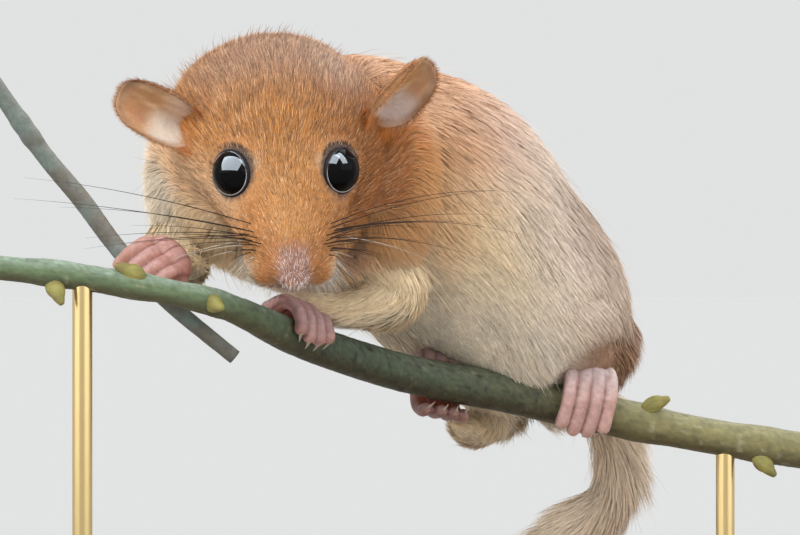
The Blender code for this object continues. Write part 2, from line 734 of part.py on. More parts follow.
def build_stand():
    """Makes the flat base, and two rods with collars at their feet."""
    base_top = BASE_SIZE[2] - STAND_SHIFT[2]
    bpy.ops.mesh.primitive_cube_add(size=1.0, location=(0.0, 0.0, BASE_SIZE[2] / 2 * MM))
    base = bpy.context.active_object
    base.name = "stand_base"
    for vertex in base.data.vertices:
        vertex.co = Vector([c * s * MM for c, s in zip(vertex.co, BASE_SIZE)])
    upright = base.modifiers.new("Corners", "BEVEL")
    upright.width = BASE_CORNER * MM
    upright.segments = 6
    upright.limit_method = "WEIGHT"
    weights = base.data.attributes.new("bevel_weight_edge", "FLOAT", "EDGE")
    for edge in base.data.edges:
        a, b = (base.data.vertices[i].co for i in edge.vertices)
        weights.data[edge.index].value = 1.0 if abs(a.z - b.z) > MM else 0.0
    apply_modifiers(base)
    rim = base.modifiers.new("Rim", "BEVEL")
    rim.width = BASE_BEVEL * MM
    rim.segments = 2
    rim.limit_method = "ANGLE"
    rim.angle_limit = math.radians(60.0)
    apply_modifiers(base)
    parts = {"stand_base": base}
    path = smooth_rows(BRANCH, 201)
    for side, x in (("left", ROD_LEFT_X), ("right", ROD_RIGHT_X)):
        y, z = path[np.argmin(np.abs(path[:, 0] - x)), 1:3]
        collar = cylinder(f"stand_collar_{side}", x, y, base_top + GAP, base_top + GAP + COLLAR_HEIGHT, COLLAR_RADIUS)
        collar_top = base_top + GAP + COLLAR_HEIGHT
        rod = cylinder(f"stand_rod_{side}", x, y, collar_top + GAP, z, ROD_RADIUS)
        cut(rod, [branch_form("b", GAP)])
        parts[collar.name] = collar
        parts[rod.name] = rod
    return parts


def material(name, colour, roughness, metallic=0.0):
    """Makes a plain material."""
    made = bpy.data.materials.new(name)
    made.use_nodes = True
    shader = made.node_tree.nodes["Principled BSDF"]
    shader.inputs["Base Color"].default_value = (*colour, 1.0)
    shader.inputs["Roughness"].default_value = roughness
    shader.inputs["Metallic"].default_value = metallic
    made.diffuse_color = (*colour, 1.0)
    return made


def finish(parts):
    """Names each part, gives it its own material and shades the rounded ones smooth."""
    group = bpy.data.collections.new("hazel_dormouse")
    bpy.context.scene.collection.children.link(group)
    kinds = {"eye": ("eye", 0.08), "nose": ("skin", 0.5), "perch_branch": ("bark", 0.7), "perch_twig": ("twig", 0.75)}
    kinds |= {"forepaw": ("skin", 0.55), "hindfoot": ("skin", 0.55), "tail": ("tail", 0.9)}
    kinds |= {"stand_base": ("wood", 0.45), "stand_rod": ("brass", 0.3), "stand_collar": ("brass", 0.3)}
    for name, obj in parts.items():
        colour, roughness = next((v for k, v in kinds.items() if name.startswith(k)), ("fur", 0.9))
        obj.name = obj.data.name = name
        obj.data.materials.clear()
        obj.data.materials.append(material(name, COLOURS[colour], roughness, float(colour == "brass")))
        for owner in list(obj.users_collection):
            owner.objects.unlink(obj)
        group.objects.link(obj)
        obj.data.shade_smooth()
        obj.data.set_sharp_from_angle(angle=math.radians(50.0))


def main():
    """Builds the whole model."""
    clear_scene()
    parts = build_head()
    parts["ear_right"] = build_ear("ear_right", -1, EAR_RIGHT_ROOT, EAR_RIGHT_WAY, EAR_RIGHT_OPENING)
    parts["ear_left"] = build_ear("ear_left", 1, EAR_LEFT_ROOT, EAR_LEFT_WAY, EAR_LEFT_OPENING)
    parts |= build_trunk()
    parts |= build_legs()
    parts |= build_tail()
    parts |= build_perch()
    parts |= build_stand()
    finish(parts)


main()
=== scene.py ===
"""Hazel dormouse on a cut branch: skin, coat, eyes, ears, feet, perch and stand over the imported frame.

Places are worked out in millimetres. The animal and its perch are given from the point midway
between the eyes, with X to the viewer's right, Y away from the viewer and Z up, and EYE_POINT
carries them into the frame, whose origin is the middle of the base's underside. Left and right
are the animal's own.
"""

from __future__ import annotations

import logging
import math
from dataclasses import dataclass, field
from enum import Enum

import bpy
import numpy as np
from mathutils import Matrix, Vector, kdtree

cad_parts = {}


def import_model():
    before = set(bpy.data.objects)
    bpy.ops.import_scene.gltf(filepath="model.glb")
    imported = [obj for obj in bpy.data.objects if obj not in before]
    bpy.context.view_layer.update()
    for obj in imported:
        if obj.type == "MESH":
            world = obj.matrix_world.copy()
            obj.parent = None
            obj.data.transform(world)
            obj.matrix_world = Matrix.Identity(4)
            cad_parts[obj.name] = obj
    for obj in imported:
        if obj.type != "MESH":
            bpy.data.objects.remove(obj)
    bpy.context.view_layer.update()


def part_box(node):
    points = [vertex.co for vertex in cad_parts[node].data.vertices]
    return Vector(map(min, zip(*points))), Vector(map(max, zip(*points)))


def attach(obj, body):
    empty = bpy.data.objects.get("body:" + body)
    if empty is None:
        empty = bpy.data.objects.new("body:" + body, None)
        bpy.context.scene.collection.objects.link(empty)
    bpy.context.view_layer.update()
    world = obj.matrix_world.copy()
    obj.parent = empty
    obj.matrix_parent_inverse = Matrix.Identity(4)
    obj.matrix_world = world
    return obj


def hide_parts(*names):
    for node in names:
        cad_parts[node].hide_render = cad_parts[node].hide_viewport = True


Array = np.ndarray
Colour = tuple[float, float, float]
Object = bpy.types.Object
Material = bpy.types.Material
Finishes = dict[str, Material]
LOG = logging.getLogger("dormouse")

MM = 0.001
SEED = 41
EYE_POINT = np.array([-13.0, -19.0, 78.5])
PIECE_TRIANGLES = 190_000
BAKE_MAP = "OFBake"
PATCH = 0.003
CURVE_STEPS = 24
SPECULAR = "Specular IOR Level"


def unit(vectors: Array) -> Array:
    """Returns each vector at length one."""
    vectors = np.asarray(vectors, float)
    return vectors / np.maximum(np.linalg.norm(vectors, axis=-1, keepdims=True), 1e-12)


def ease(values: Array, low: float, high: float) -> Array:
    """Returns a smooth step, from 0 at low to 1 at high."""
    share = np.clip((values - low) / (high - low), 0.0, 1.0)
    return share * share * (3.0 - 2.0 * share)


def blend(first: Array, second: Array, share: Array) -> Array:
    """Returns first where share is 0 and second where it is 1."""
    return first + (second - first) * share


def dot(first: Array, second: Array) -> Array:
    """Returns the dot product along the last axis, keeping that axis."""
    return (first * second).sum(axis=-1, keepdims=True)


def plain(colour: Colour, points: Array) -> Array:
    """Returns one colour for every point."""
    return np.tile(np.array(colour), (len(points), 1))


def painted(base: Array, *layers: tuple[Colour, Array]) -> Array:
    """Lays colours over a base in order, each by its share from 0 to 1 at every point."""
    for colour, share in layers:
        base = blend(base, np.array(colour), np.clip(share, 0.0, 1.0)[:, None])
    return base


def spot(points: Array, place: Array, size: float) -> Array:
    """Returns a soft spot, exp(-(distance / size)^2) round a place."""
    return np.exp(-((np.linalg.norm(points - place, axis=1) / size) ** 2))


def clouds(points: Array, size: float, seed: int) -> Array:
    """Returns smooth noise from -1 to 1.

    Each corner of a lattice has a hashed value, and the eight round a point are blended by
    smooth steps of the point's place in its cell.

    Args:
        points: Places, one a row.
        size: Width of a cell in the same unit.
        seed: Number that picks one pattern.

    Returns:
        One value a place.
    """
    scaled = np.asarray(points, float) / size
    cell = np.floor(scaled).astype(np.int64)
    part = scaled - cell
    part = part * part * (3.0 - 2.0 * part)
    total = np.zeros(len(scaled))
    for corner in np.ndindex(2, 2, 2):
        at = cell + np.array(corner)
        mixed = (at[:, 0] * 73856093) ^ (at[:, 1] * 19349663) ^ (at[:, 2] * 83492791) ^ (seed * 668265263)
        mixed = (mixed ^ (mixed >> 13)) * 1274126177
        value = ((mixed ^ (mixed >> 16)) & 0xFFFF) / 32767.5 - 1.0
        weight = np.prod(np.where(np.array(corner, bool), part, 1.0 - part), axis=1)
        total += weight * value
    return total


def smooth_rows(rows: Array, count: int) -> Array:
    """Reads rows at even steps along a Catmull-Rom curve through the given rows.

    Args:
        rows: Rows whose first three numbers are a place.
        count: How many rows to read.

    Returns:
        The rows read, with as many columns as the given ones.
    """
    rows = np.asarray(rows, float)
    padded = np.vstack([2 * rows[0] - rows[1], rows, 2 * rows[-1] - rows[-2]])
    before, here, after, beyond = padded[:-3], padded[1:-2], padded[2:-1], padded[3:]
    t = np.linspace(0.0, 1.0, CURVE_STEPS, endpoint=False)[None, :, None]
    before, here, after, beyond = (part[:, None, :] for part in (before, here, after, beyond))
    square = (2 * before - 5 * here + 4 * after - beyond) * t**2
    cube = (3 * here - before - 3 * after + beyond) * t**3
    fine = (0.5 * (2 * here + (after - before) * t + square + cube)).reshape(-1, rows.shape[1])
    fine = np.vstack([fine, rows[-1]])
    along = np.concatenate([[0.0], np.cumsum(np.linalg.norm(np.diff(fine[:, :3], axis=0), axis=1))])
    wanted = np.linspace(0.0, 1.0, count) * along[-1]
    return np.column_stack([np.interp(wanted, along, column) for column in fine.T])


@dataclass
class Surface:
    """A mesh as arrays: places in millimetres, four-sided faces and triangles."""

    points: Array
    quads: Array = field(default_factory=lambda: np.zeros((0, 4), int))
    tris: Array = field(default_factory=lambda: np.zeros((0, 3), int))

    def __add__(self, other: Surface) -> Surface:
        """Returns both surfaces as one, not welded."""
        shift = len(self.points)
        return Surface(
            np.vstack([self.points, other.points]),
            np.vstack([self.quads, other.quads + shift]),
            np.vstack([self.tris, other.tris + shift]),
        )

    def triangles(self) -> Array:
        """Returns every face as triangles."""
        return np.vstack([self.quads[:, [0, 1, 2]], self.quads[:, [0, 2, 3]], self.tris]).astype(int)

    def normals(self) -> Array:
        """Returns each point's normal, the mean of its faces' normals weighed by their area."""
        tris = self.triangles()
        a, b, c = (self.points[tris[:, k]] for k in range(3))
        face = np.cross(b - a, c - a)
        total = np.zeros_like(self.points)
        for k in range(3):
            np.add.at(total, tris[:, k], face)
        return unit(total)

    def mesh(self, name: str) -> bpy.types.Mesh:
        """Writes the arrays into a new smooth mesh in metres."""
        mesh = bpy.data.meshes.new(name)
        mesh.vertices.add(len(self.points))
        mesh.vertices.foreach_set("co", (self.points * MM).astype(np.float32).ravel())
        loops = np.concatenate([self.quads.ravel(), self.tris.ravel()]).astype(np.int32)
        sizes = np.concatenate([np.full(len(self.quads), 4), np.full(len(self.tris), 3)]).astype(np.int32)
        mesh.loops.add(len(loops))
        mesh.loops.foreach_set("vertex_index", loops)
        mesh.polygons.add(len(sizes))
        mesh.polygons.foreach_set("loop_start", (np.cumsum(sizes) - sizes).astype(np.int32))
        mesh.polygons.foreach_set("use_smooth", np.ones(len(sizes), bool))
        mesh.update(calc_edges=True)
        return mesh

    def piece(self, name: str, material: Material, slot: str, *nodes: str) -> Object:
        """Makes the surface a finished piece of the model.

        Args:
            name: Name of the piece.
            material: Its finish.
            slot: The record's material slot; not used.
            nodes: CAD nodes that the piece stands for.

        Returns:
            The new object, riding on the model's one body.
        """
        obj = bpy.data.objects.new(name, self.mesh(name))
        return finish_piece(obj, material, slot, *nodes)


def finish_piece(obj: Object, material: Material, slot: str, *nodes: str) -> Object:
    """Links an object, dresses it and ties it to the frame, as Surface.piece does."""
    if not obj.users_collection:
        bpy.context.scene.collection.objects.link(obj)
    obj.data.materials.clear()
    obj.data.materials.append(material)
    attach(obj, "root")
    if nodes:
        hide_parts(*nodes)
    LOG.info("%s: %d points", obj.name, len(obj.data.vertices))
    return obj


def set_colours(obj: Object, colours: Array) -> None:
    """Stores a linear colour for each point of a mesh."""
    layer = obj.data.attributes.new("coat", "FLOAT_COLOR", "POINT")
    full = np.column_stack([colours, np.ones(len(colours))]).astype(np.float32)
    layer.data.foreach_set("color", full.ravel())


def grid_faces(rings: int, sides: int) -> Array:
    """Returns the four-sided faces between rings of points, outwards for rings along a tube."""
    ring = np.arange(rings - 1)[:, None] * sides
    side = np.arange(sides)[None, :]
    after = (side + 1) % sides
    corners = [ring + side, ring + after, ring + sides + after, ring + sides + side]
    return np.stack([np.broadcast_to(c, (rings - 1, sides)) for c in corners], axis=-1).reshape(-1, 4)


def capped(rings: Array, first: Array, last: Array, flip: bool = False) -> Surface:
    """Closes rings of points with a pole at each end.

    Args:
        rings: Places, as ring, side and coordinate.
        first: Pole before the first ring.
        last: Pole after the last ring.
        flip: Turns the faces round.

    Returns:
        A closed surface.
    """
    count, sides, _ = rings.shape
    side = np.arange(sides)
    after = (side + 1) % sides
    low, high = count * sides, count * sides + 1
    caps = np.vstack([
        np.column_stack([after, side, np.full(sides, low)]),
        np.column_stack([low - sides + side, low - sides + after, np.full(sides, high)]),
    ])
    turn = -1 if flip else 1
    points = np.vstack([rings.reshape(-1, 3), first, last])
    return Surface(points, grid_faces(count, sides)[:, ::turn], caps[:, ::turn])


def section_frames(centres: Array, up: Array) -> tuple[Array, Array, Array]:
    """Returns the direction along a line, across it and over it at each of its places."""
    tangent = unit(np.gradient(centres, axis=0))
    across = unit(np.cross(tangent, np.asarray(up, float)))
    return tangent, across, np.cross(across, tangent)


def loft(
    rows: Array,
    sides: int,
    up: Array = (0.0, 0.0, 1.0),
    domes: tuple[float, float] = (0.8, 0.8),
    grow: float = 0.0,
    lean: float = 0.0,
    dome_rings: int = 5,
) -> Surface:
    """Carries a rounded section along a line.

    A section is (half cos a (1 - lean sin a), high sin a), where high is the height above or the
    depth below. A dome shrinks it by cos b as it moves on by dome * size * sin b.

    Args:
        rows: x, y, z, and one radius or half width, height above and depth below.
        sides: Points round a section.
        up: Direction that the sections' tops face.
        domes: How far each end bulges, as a share of its size. 0 closes it flat.
        grow: Millimetres added to each size.
        lean: How much narrower the upper side is.
        dome_rings: Rings in a dome.

    Returns:
        A closed surface whose faces point outwards.
    """
    rows = np.asarray(rows, float)
    sizes = (rows[:, 3:] if rows.shape[1] > 4 else np.repeat(rows[:, 3:4], 3, axis=1)) + grow
    sizes = np.maximum(sizes, 0.05)
    tangent, across, over = section_frames(rows[:, :3], up)
    angle = np.arange(sides) * 2 * math.pi / sides
    bulge = np.arange(1, dome_rings + 1) * math.pi / 2 / (dome_rings + 1)
    count = len(rows)
    index, scale, shift, poles = [np.arange(count)], [np.ones(count)], [np.zeros(count)], []
    for end, (at, amount, sign) in enumerate(((0, domes[0], -1.0), (count - 1, domes[1], 1.0))):
        reach = amount * sizes[at].mean()
        poles.append(rows[at, :3] + tangent[at] * sign * reach)
        if amount:
            order = slice(None, None, -1) if end == 0 else slice(None)
            extra = ([np.full(dome_rings, at)], [np.cos(bulge)[order]], [sign * reach * np.sin(bulge)[order]])
            if end == 0:
                index, scale, shift = extra[0] + index, extra[1] + scale, extra[2] + shift
            else:
                index, scale, shift = index + extra[0], scale + extra[1], shift + extra[2]
    index, scale, shift = np.concatenate(index), np.concatenate(scale), np.concatenate(shift)
    size = sizes[index] * scale[:, None]
    wide = size[:, :1] * np.cos(angle) * (1.0 - lean * np.sin(angle))
    high = np.where(np.sin(angle) > 0, size[:, 1:2], size[:, 2:3]) * np.sin(angle)
    middle = rows[index, :3] + tangent[index] * shift[:, None]
    rings = middle[:, None] + wide[..., None] * across[index][:, None]
    rings = rings + high[..., None] * over[index][:, None]
    return capped(rings, *poles, flip=True)


def ellipsoid(centre: Array, axes: Array, radii: Array, sides: int = 32, rings: int = 20) -> Surface:
    """Makes an ellipsoid: centre + sum of axis * radius * point of the unit sphere.

    Args:
        centre: Its middle.
        axes: Three unit directions.
        radii: Its half size along each.
        sides: Points round it.
        rings: Steps from pole to pole.

    Returns:
        A closed surface.
    """
    axes, radii = np.asarray(axes, float), np.asarray(radii, float)
    fall = np.linspace(0.0, math.pi, rings + 1)[1:-1]
    turn = np.arange(sides) * 2 * math.pi / sides
    ball = np.stack([
        np.sin(fall)[:, None] * np.cos(turn),
        np.sin(fall)[:, None] * np.sin(turn),
        np.broadcast_to(np.cos(fall)[:, None], (len(fall), sides)),
    ], axis=-1).reshape(-1, 3)
    ball = np.vstack([ball, [[0, 0, 1], [0, 0, -1]]])
    side = np.arange(sides)
    after = (side + 1) % sides
    last = (len(fall) - 1) * sides
    caps = np.vstack([
        np.column_stack([side, after, np.full(sides, len(ball) - 2)]),
        np.column_stack([last + after, last + side, np.full(sides, len(ball) - 1)]),
    ])
    quads = grid_faces(len(fall), sides)[:, ::-1]
    if np.dot(np.cross(axes[0], axes[1]), axes[2]) < 0:
        quads, caps = quads[:, ::-1], caps[:, ::-1]
    return Surface(centre + (ball * radii) @ axes, quads, caps)


def tubes(paths: Array, radii: Array, sides: int = 4) -> Surface:
    """Makes many thin tapered tubes at once, each closed to a point at its far end.

    Args:
        paths: Places, as tube, station and coordinate.
        radii: One radius a tube and station.
        sides: Points round a tube.

    Returns:
        All the tubes as one surface, open at the sunk root.
    """
    many, stations, _ = paths.shape
    tangent = unit(np.gradient(paths, axis=1))
    hint = np.where(np.abs(tangent[..., 2:]) > 0.9, [[[1.0, 0.0, 0.0]]], [[[0.0, 0.0, 1.0]]])
    across = unit(np.cross(tangent, hint))
    over = np.cross(tangent, across)
    angle = np.arange(sides) * 2 * math.pi / sides
    ring = np.cos(angle)[:, None] * across[:, :, None] + np.sin(angle)[:, None] * over[:, :, None]
    points = (paths[:, :, None] + ring * radii[:, :, None, None]).reshape(-1, 3)
    start = np.arange(many)[:, None, None] * stations * sides
    quads = (start + grid_faces(stations, sides)[None]).reshape(-1, 4)
    return Surface(points, quads)


def welded(shells: Surface, voxel: float, smooth_steps: int) -> Surface:
    """Welds overlapping closed shells into one by a voxel remesh, and smooths the creases where they meet.

    Args:
        shells: The shells.
        voxel: Width of a voxel in millimetres.
        smooth_steps: Times that each point moves half way to the mean of its neighbours.

    Returns:
        One closed surface.
    """
    work = bpy.data.objects.new("work", shells.mesh("work"))
    bpy.context.scene.collection.objects.link(work)
    weld = work.modifiers.new("Weld", "REMESH")
    weld.mode = "VOXEL"
    weld.voxel_size = voxel * MM
    relax = work.modifiers.new("Relax", "SMOOTH")
    relax.factor = 0.5
    relax.iterations = smooth_steps
    mesh = work.evaluated_get(bpy.context.evaluated_depsgraph_get()).to_mesh()
    points = np.empty(len(mesh.vertices) * 3, np.float32)
    mesh.vertices.foreach_get("co", points)
    corners = np.empty(len(mesh.loops), np.int32)
    mesh.loops.foreach_get("vertex_index", corners)
    starts = np.empty(len(mesh.polygons), np.int32)
    mesh.polygons.foreach_get("loop_start", starts)
    totals = np.empty(len(mesh.polygons), np.int32)
    mesh.polygons.foreach_get("loop_total", totals)
    quads = corners[starts[totals == 4][:, None] + np.arange(4)]
    tris = corners[starts[totals == 3][:, None] + np.arange(3)]
    bpy.data.objects.remove(work, do_unlink=True)
    return Surface(points.reshape(-1, 3).astype(float) / MM, quads.astype(int), tris.astype(int))


@dataclass(frozen=True)
class Turned:
    """A right-handed set of directions in the model: forward, up and to the animal's left."""

    forward: Array
    up: Array
    side: Array

    def place(self, forward: Array, up: Array, side: Array) -> Array:
        """Turns a place or direction in the head's own terms into the model's."""
        forward, up, side = (np.asarray(v, float)[..., None] for v in (forward, up, side))
        return self.forward * forward + self.up * up + self.side * side


def head_turn(yaw: float = 9.0, pitch: float = 42.0, roll: float = 2.4) -> Turned:
    """Returns the head's directions: looking at the viewer, turned by yaw, nodded by pitch and rolled."""
    y, p, r = (math.radians(a) for a in (yaw, pitch, roll))
    forward = np.array([math.sin(y) * math.cos(p), -math.cos(y) * math.cos(p), -math.sin(p)])
    up = np.array([math.sin(y) * math.sin(p), -math.cos(y) * math.sin(p), math.cos(p)])
    side = np.array([math.cos(y), math.sin(y), 0.0])
    return Turned(forward, up * math.cos(r) - side * math.sin(r), side * math.cos(r) + up * math.sin(r))


HEAD = head_turn()


class Part(Enum):
    """The parts that the coat and the skin's colours are set by."""

    HEAD = 0
    TRUNK = 1
    ARM_RIGHT = 2
    ARM_LEFT = 3
    THIGH_LEFT = 4
    THIGH_RIGHT = 5
    SHANK_RIGHT = 6
    TAIL = 7


Places = dict[Part, dict[str, Array]]


@dataclass
class Form:
    """One part of the body as rounded sections along a curved line, out to the coat's tips."""

    part: Part
    rows: Array
    up: tuple[float, float, float] = (0.0, 0.0, 1.0)
    domes: tuple[float, float] = (0.8, 0.8)
    lean: float = 0.0
    depth: float = 0.6
    keep: float = 0.0

    def __post_init__(self) -> None:
        """Reads the line finely once, for finding where a point lies along it."""
        self.fine = smooth_rows(self.rows, 90)
        self.fine[:, :3] += EYE_POINT
        if self.fine.shape[1] == 4:
            self.fine = np.column_stack([self.fine, self.fine[:, 3], self.fine[:, 3]])
        self.tangent, self.across, self.over = section_frames(self.fine[:, :3], self.up)

    def core(self, sides: int = 40) -> Surface:
        """Returns the skin under the coat, drawn in by its depth but never under the share keep."""
        rows = self.fine.copy()
        rows[:, 3:] = np.maximum(rows[:, 3:] - self.depth, rows[:, 3:] * self.keep)
        return loft(rows, sides, self.up, self.domes, lean=self.lean)

    def locate(self, points: Array) -> dict[str, Array]:
        """Finds where points lie along and round the form.

        The nearest section is the one whose middle is closest. The angle and the distance are
        measured across it in shares of its own size.

        Args:
            points: Places in the frame.

        Returns:
            along (0 to 1), angle (radians), reach (1 on the coat's tips) and the row's index.
        """
        centres = self.fine[:, :3]
        index = np.empty(len(points), int)
        for start in range(0, len(points), 20000):
            chunk = points[start:start + 20000]
            gap = ((chunk[:, None] - centres[None]) ** 2).sum(-1) / (self.fine[:, 3:].mean(1) ** 2)[None]
            index[start:start + 20000] = gap.argmin(1)
        offset = points - centres[index]
        step = np.linalg.norm(np.diff(centres, axis=0), axis=1).mean()
        run = (offset * self.tangent[index]).sum(1)
        wide = (offset * self.across[index]).sum(1) / self.fine[index, 3]
        high = (offset * self.over[index]).sum(1)
        high = np.where(high > 0, high / self.fine[index, 4], high / self.fine[index, 5])
        past = run / self.fine[index, 3:].mean(1)
        last = len(centres) - 1
        past = np.where(((index == 0) & (run < 0)) | ((index == last) & (run > 0)), past, 0.0)
        return {
            "along": np.clip((index + run / step) / last, 0.0, 1.0),
            "angle": np.arctan2(high, wide),
            "reach": np.sqrt(wide**2 + high**2 + past**2),
            "index": index,
        }


HEAD_PROFILE = [
    # forward, top, bottom, half width
    (-15.2, 4.6, -8.8, 9.6),
    (-12.0, 5.7, -9.4, 10.7),
    (-8.5, 5.9, -9.6, 11.0),
    (-5.0, 5.1, -9.4, 10.1),
    (-2.0, 3.9, -9.0, 8.4),
    (0.5, 2.6, -8.6, 7.2),
    (3.0, 1.0, -8.2, 6.2),
    (5.5, -0.5, -7.8, 5.3),
    (7.6, -1.7, -7.3, 4.3),
    (9.4, -2.9, -6.7, 3.0),
]


def head_rows() -> Array:
    """Returns the head's sections, from the back of the skull to the muzzle."""
    forward, top, bottom, half = np.array(HEAD_PROFILE).T
    middle = HEAD.place(forward, (top + bottom) / 2, np.zeros(len(forward)))
    height = (top - bottom) / 2
    return np.column_stack([middle, half, height, height])


TRUNK_ROWS = [
    (0.5, 8.0, 1.0, 10.0, 10.0, 10.0),
    (-0.2, 13.0, 0.5, 14.0, 12.2, 11.6),
    (2.2, 17.5, -0.5, 14.8, 14.0, 12.0),
    (7.0, 21.5, -2.0, 14.6, 15.2, 12.4),
    (13.5, 25.5, -5.0, 14.4, 16.2, 12.6),
    (19.5, 28.5, -10.0, 13.9, 14.3, 12.6),
    (25.0, 30.5, -15.5, 12.6, 12.7, 11.4),
    (29.2, 32.7, -20.0, 9.0, 9.9, 7.4),
]
RIGHT_ARM_ROWS = [
    (-9.5, 15.0, -4.0, 4.6),
    (-11.5, 12.0, -8.0, 3.8),
    (-10.4, 8.0, -9.4, 2.5),
    (-9.6, 5.6, -9.2, 1.9),
]
LEFT_ARM_ROWS = [
    (9.0, 14.0, -8.0, 4.4),
    (10.5, 12.5, -12.0, 3.6),
    (7.0, 10.4, -13.6, 2.4),
    (3.6, 9.6, -13.6, 1.8),
]
LEFT_THIGH_ROWS = [
    (24.0, 26.5, -11.0, 5.4, 5.4, 5.0),
    (28.0, 25.2, -15.0, 7.2, 6.8, 5.6),
    (31.0, 27.2, -18.8, 5.0, 4.6, 4.4),
]
RIGHT_THIGH_ROWS = [
    (17.0, 37.0, -12.0, 5.4, 5.4, 5.0),
    (20.0, 37.0, -17.5, 6.8, 6.4, 5.6),
    (22.5, 34.0, -23.2, 5.0, 4.6, 4.4),
]
RIGHT_SHANK_ROWS = [(21.5, 32.5, -25.0, 3.0), (19.5, 29.2, -27.0, 2.2), (18.0, 26.6, -26.4, 1.9)]
TAIL_ROWS = [
    (30.5, 34.0, -20.0, 3.6),
    (34.2, 36.5, -26.5, 3.5),
    (35.0, 37.6, -33.0, 3.8),
    (31.6, 37.8, -37.4, 4.1),
    (26.8, 37.0, -42.0, 4.3),
    (22.0, 35.6, -47.0, 4.3),
    (18.0, 34.2, -53.0, 4.2),
    (14.2, 33.0, -58.6, 3.9),
    (9.8, 32.2, -62.6, 3.3),
    (5.4, 31.4, -64.4, 2.2),
]
BRANCH_ROWS = [
    (-32.0, -6.4, -9.3, 1.2),
    (-28.3, -6.0, -9.5, 1.2),
    (-18.4, -5.0, -10.7, 1.3),
    (-7.1, -2.0, -13.0, 1.3),
    (1.3, 8.0, -16.9, 1.85),
    (11.8, 17.0, -20.5, 2.0),
    (22.5, 22.0, -22.7, 2.1),
    (31.9, 25.0, -24.9, 2.1),
    (44.0, 26.0, -27.4, 1.85),
    (58.0, 27.3, -29.6, 2.0),
]
TWIG_ROWS = [
    (-30.4, 8.2, 9.7, 0.9),
    (-25.0, 6.6, 2.2, 0.9),
    (-21.0, 5.0, -2.5, 0.95),
    (-17.7, 3.0, -6.8, 0.9),
    (-15.4, 1.4, -9.4, 0.85),
    (-13.0, 0.3, -11.8, 0.85),
    (-10.4, -0.2, -14.2, 0.8),
    (-5.2, 0.6, -18.5, 0.75),
]


def body_forms() -> dict[Part, Form]:
    """Returns every furred part of the body by name."""
    slanted = (1.0, 0.0, 0.3)
    forms = [
        Form(Part.HEAD, head_rows(), tuple(HEAD.up), (0.55, 0.75), 0.1, 0.55),
        Form(Part.TRUNK, TRUNK_ROWS, domes=(0.7, 0.6), depth=1.0),
        Form(Part.ARM_RIGHT, RIGHT_ARM_ROWS, domes=(0.8, 0.6), depth=0.6, keep=0.6),
        Form(Part.ARM_LEFT, LEFT_ARM_ROWS, domes=(0.8, 0.6), depth=0.6, keep=0.6),
        Form(Part.THIGH_LEFT, LEFT_THIGH_ROWS, slanted, (0.75, 0.75), depth=0.9),
        Form(Part.THIGH_RIGHT, RIGHT_THIGH_ROWS, slanted, (0.75, 0.75), depth=0.9),
        Form(Part.SHANK_RIGHT, RIGHT_SHANK_ROWS, domes=(0.8, 0.6), depth=0.5, keep=0.6),
        Form(Part.TAIL, TAIL_ROWS, (0.0, 1.0, 0.2), (0.0, 1.0), depth=2.2, keep=0.4),
    ]
    return {form.part: form for form in forms}


FORMS = body_forms()
EYE_RADIUS = 2.4
EYE_CENTRES = {sign: EYE_POINT + HEAD.place(-0.4, -0.2, 5.0 * sign) for sign in (-1, 1)}
EYE_LOOKS = {-1: unit(HEAD.place(0.54, 0.46, -0.71)), 1: unit(HEAD.place(0.62, 0.49, 0.61))}
NOSE_TIP = EYE_POINT + HEAD.place(10.25, -5.0, 0.0)


class Palette:
    """The coat's and the skin's colours, linear."""

    GINGER: Colour = (0.56, 0.235, 0.062)
    GOLD: Colour = (0.68, 0.34, 0.12)
    # pale peach, laid on the cheek that faces the light: pale cheek fur with painted light
    LIT_PEACH: Colour = (0.92, 0.62, 0.37)
    # deep rust fur, also laid as painted shade on the face's side turned from the light
    RUST_AND_SHADE: Colour = (0.38, 0.13, 0.04)
    CROWN: Colour = (0.44, 0.27, 0.19)
    BACK: Colour = (0.80, 0.60, 0.49)
    FLANK: Colour = (0.92, 0.74, 0.48)
    CREAM: Colour = (0.82, 0.74, 0.60)
    WHITE: Colour = (0.88, 0.84, 0.76)
    # grey mottling, partly grey fur and partly painted shade on the underside
    GREY_AND_SHADE: Colour = (0.20, 0.17, 0.14)
    HAUNCH: Colour = (0.80, 0.70, 0.60)
    BROWN: Colour = (0.28, 0.125, 0.055)
    TAIL: Colour = (0.86, 0.71, 0.54)
    ROOT: Colour = (0.30, 0.20, 0.13)
    # dark bare skin of the eye rims, also used for the painted shadow under the nose pad
    RIM: Colour = (0.028, 0.02, 0.02)
    PINK: Colour = (0.58, 0.32, 0.28)
    NOSE: Colour = (0.34, 0.175, 0.155)
    TUFT: Colour = (0.72, 0.24, 0.035)
    DARK_HAIR: Colour = (0.10, 0.05, 0.03)
    PALE_HAIR: Colour = (0.86, 0.60, 0.36)
    BRIDGE_HAIR: Colour = (0.80, 0.68, 0.63)
    GUARD_HAIR: Colour = (0.12, 0.07, 0.045)
    MAUVE: Colour = (0.58, 0.42, 0.42)
    BLOTCH: Colour = (0.36, 0.17, 0.13)
    # painted shade between the toes
    SHADE_BETWEEN_TOES: Colour = (0.18, 0.08, 0.07)
    INSTEP: Colour = (0.86, 0.68, 0.65)


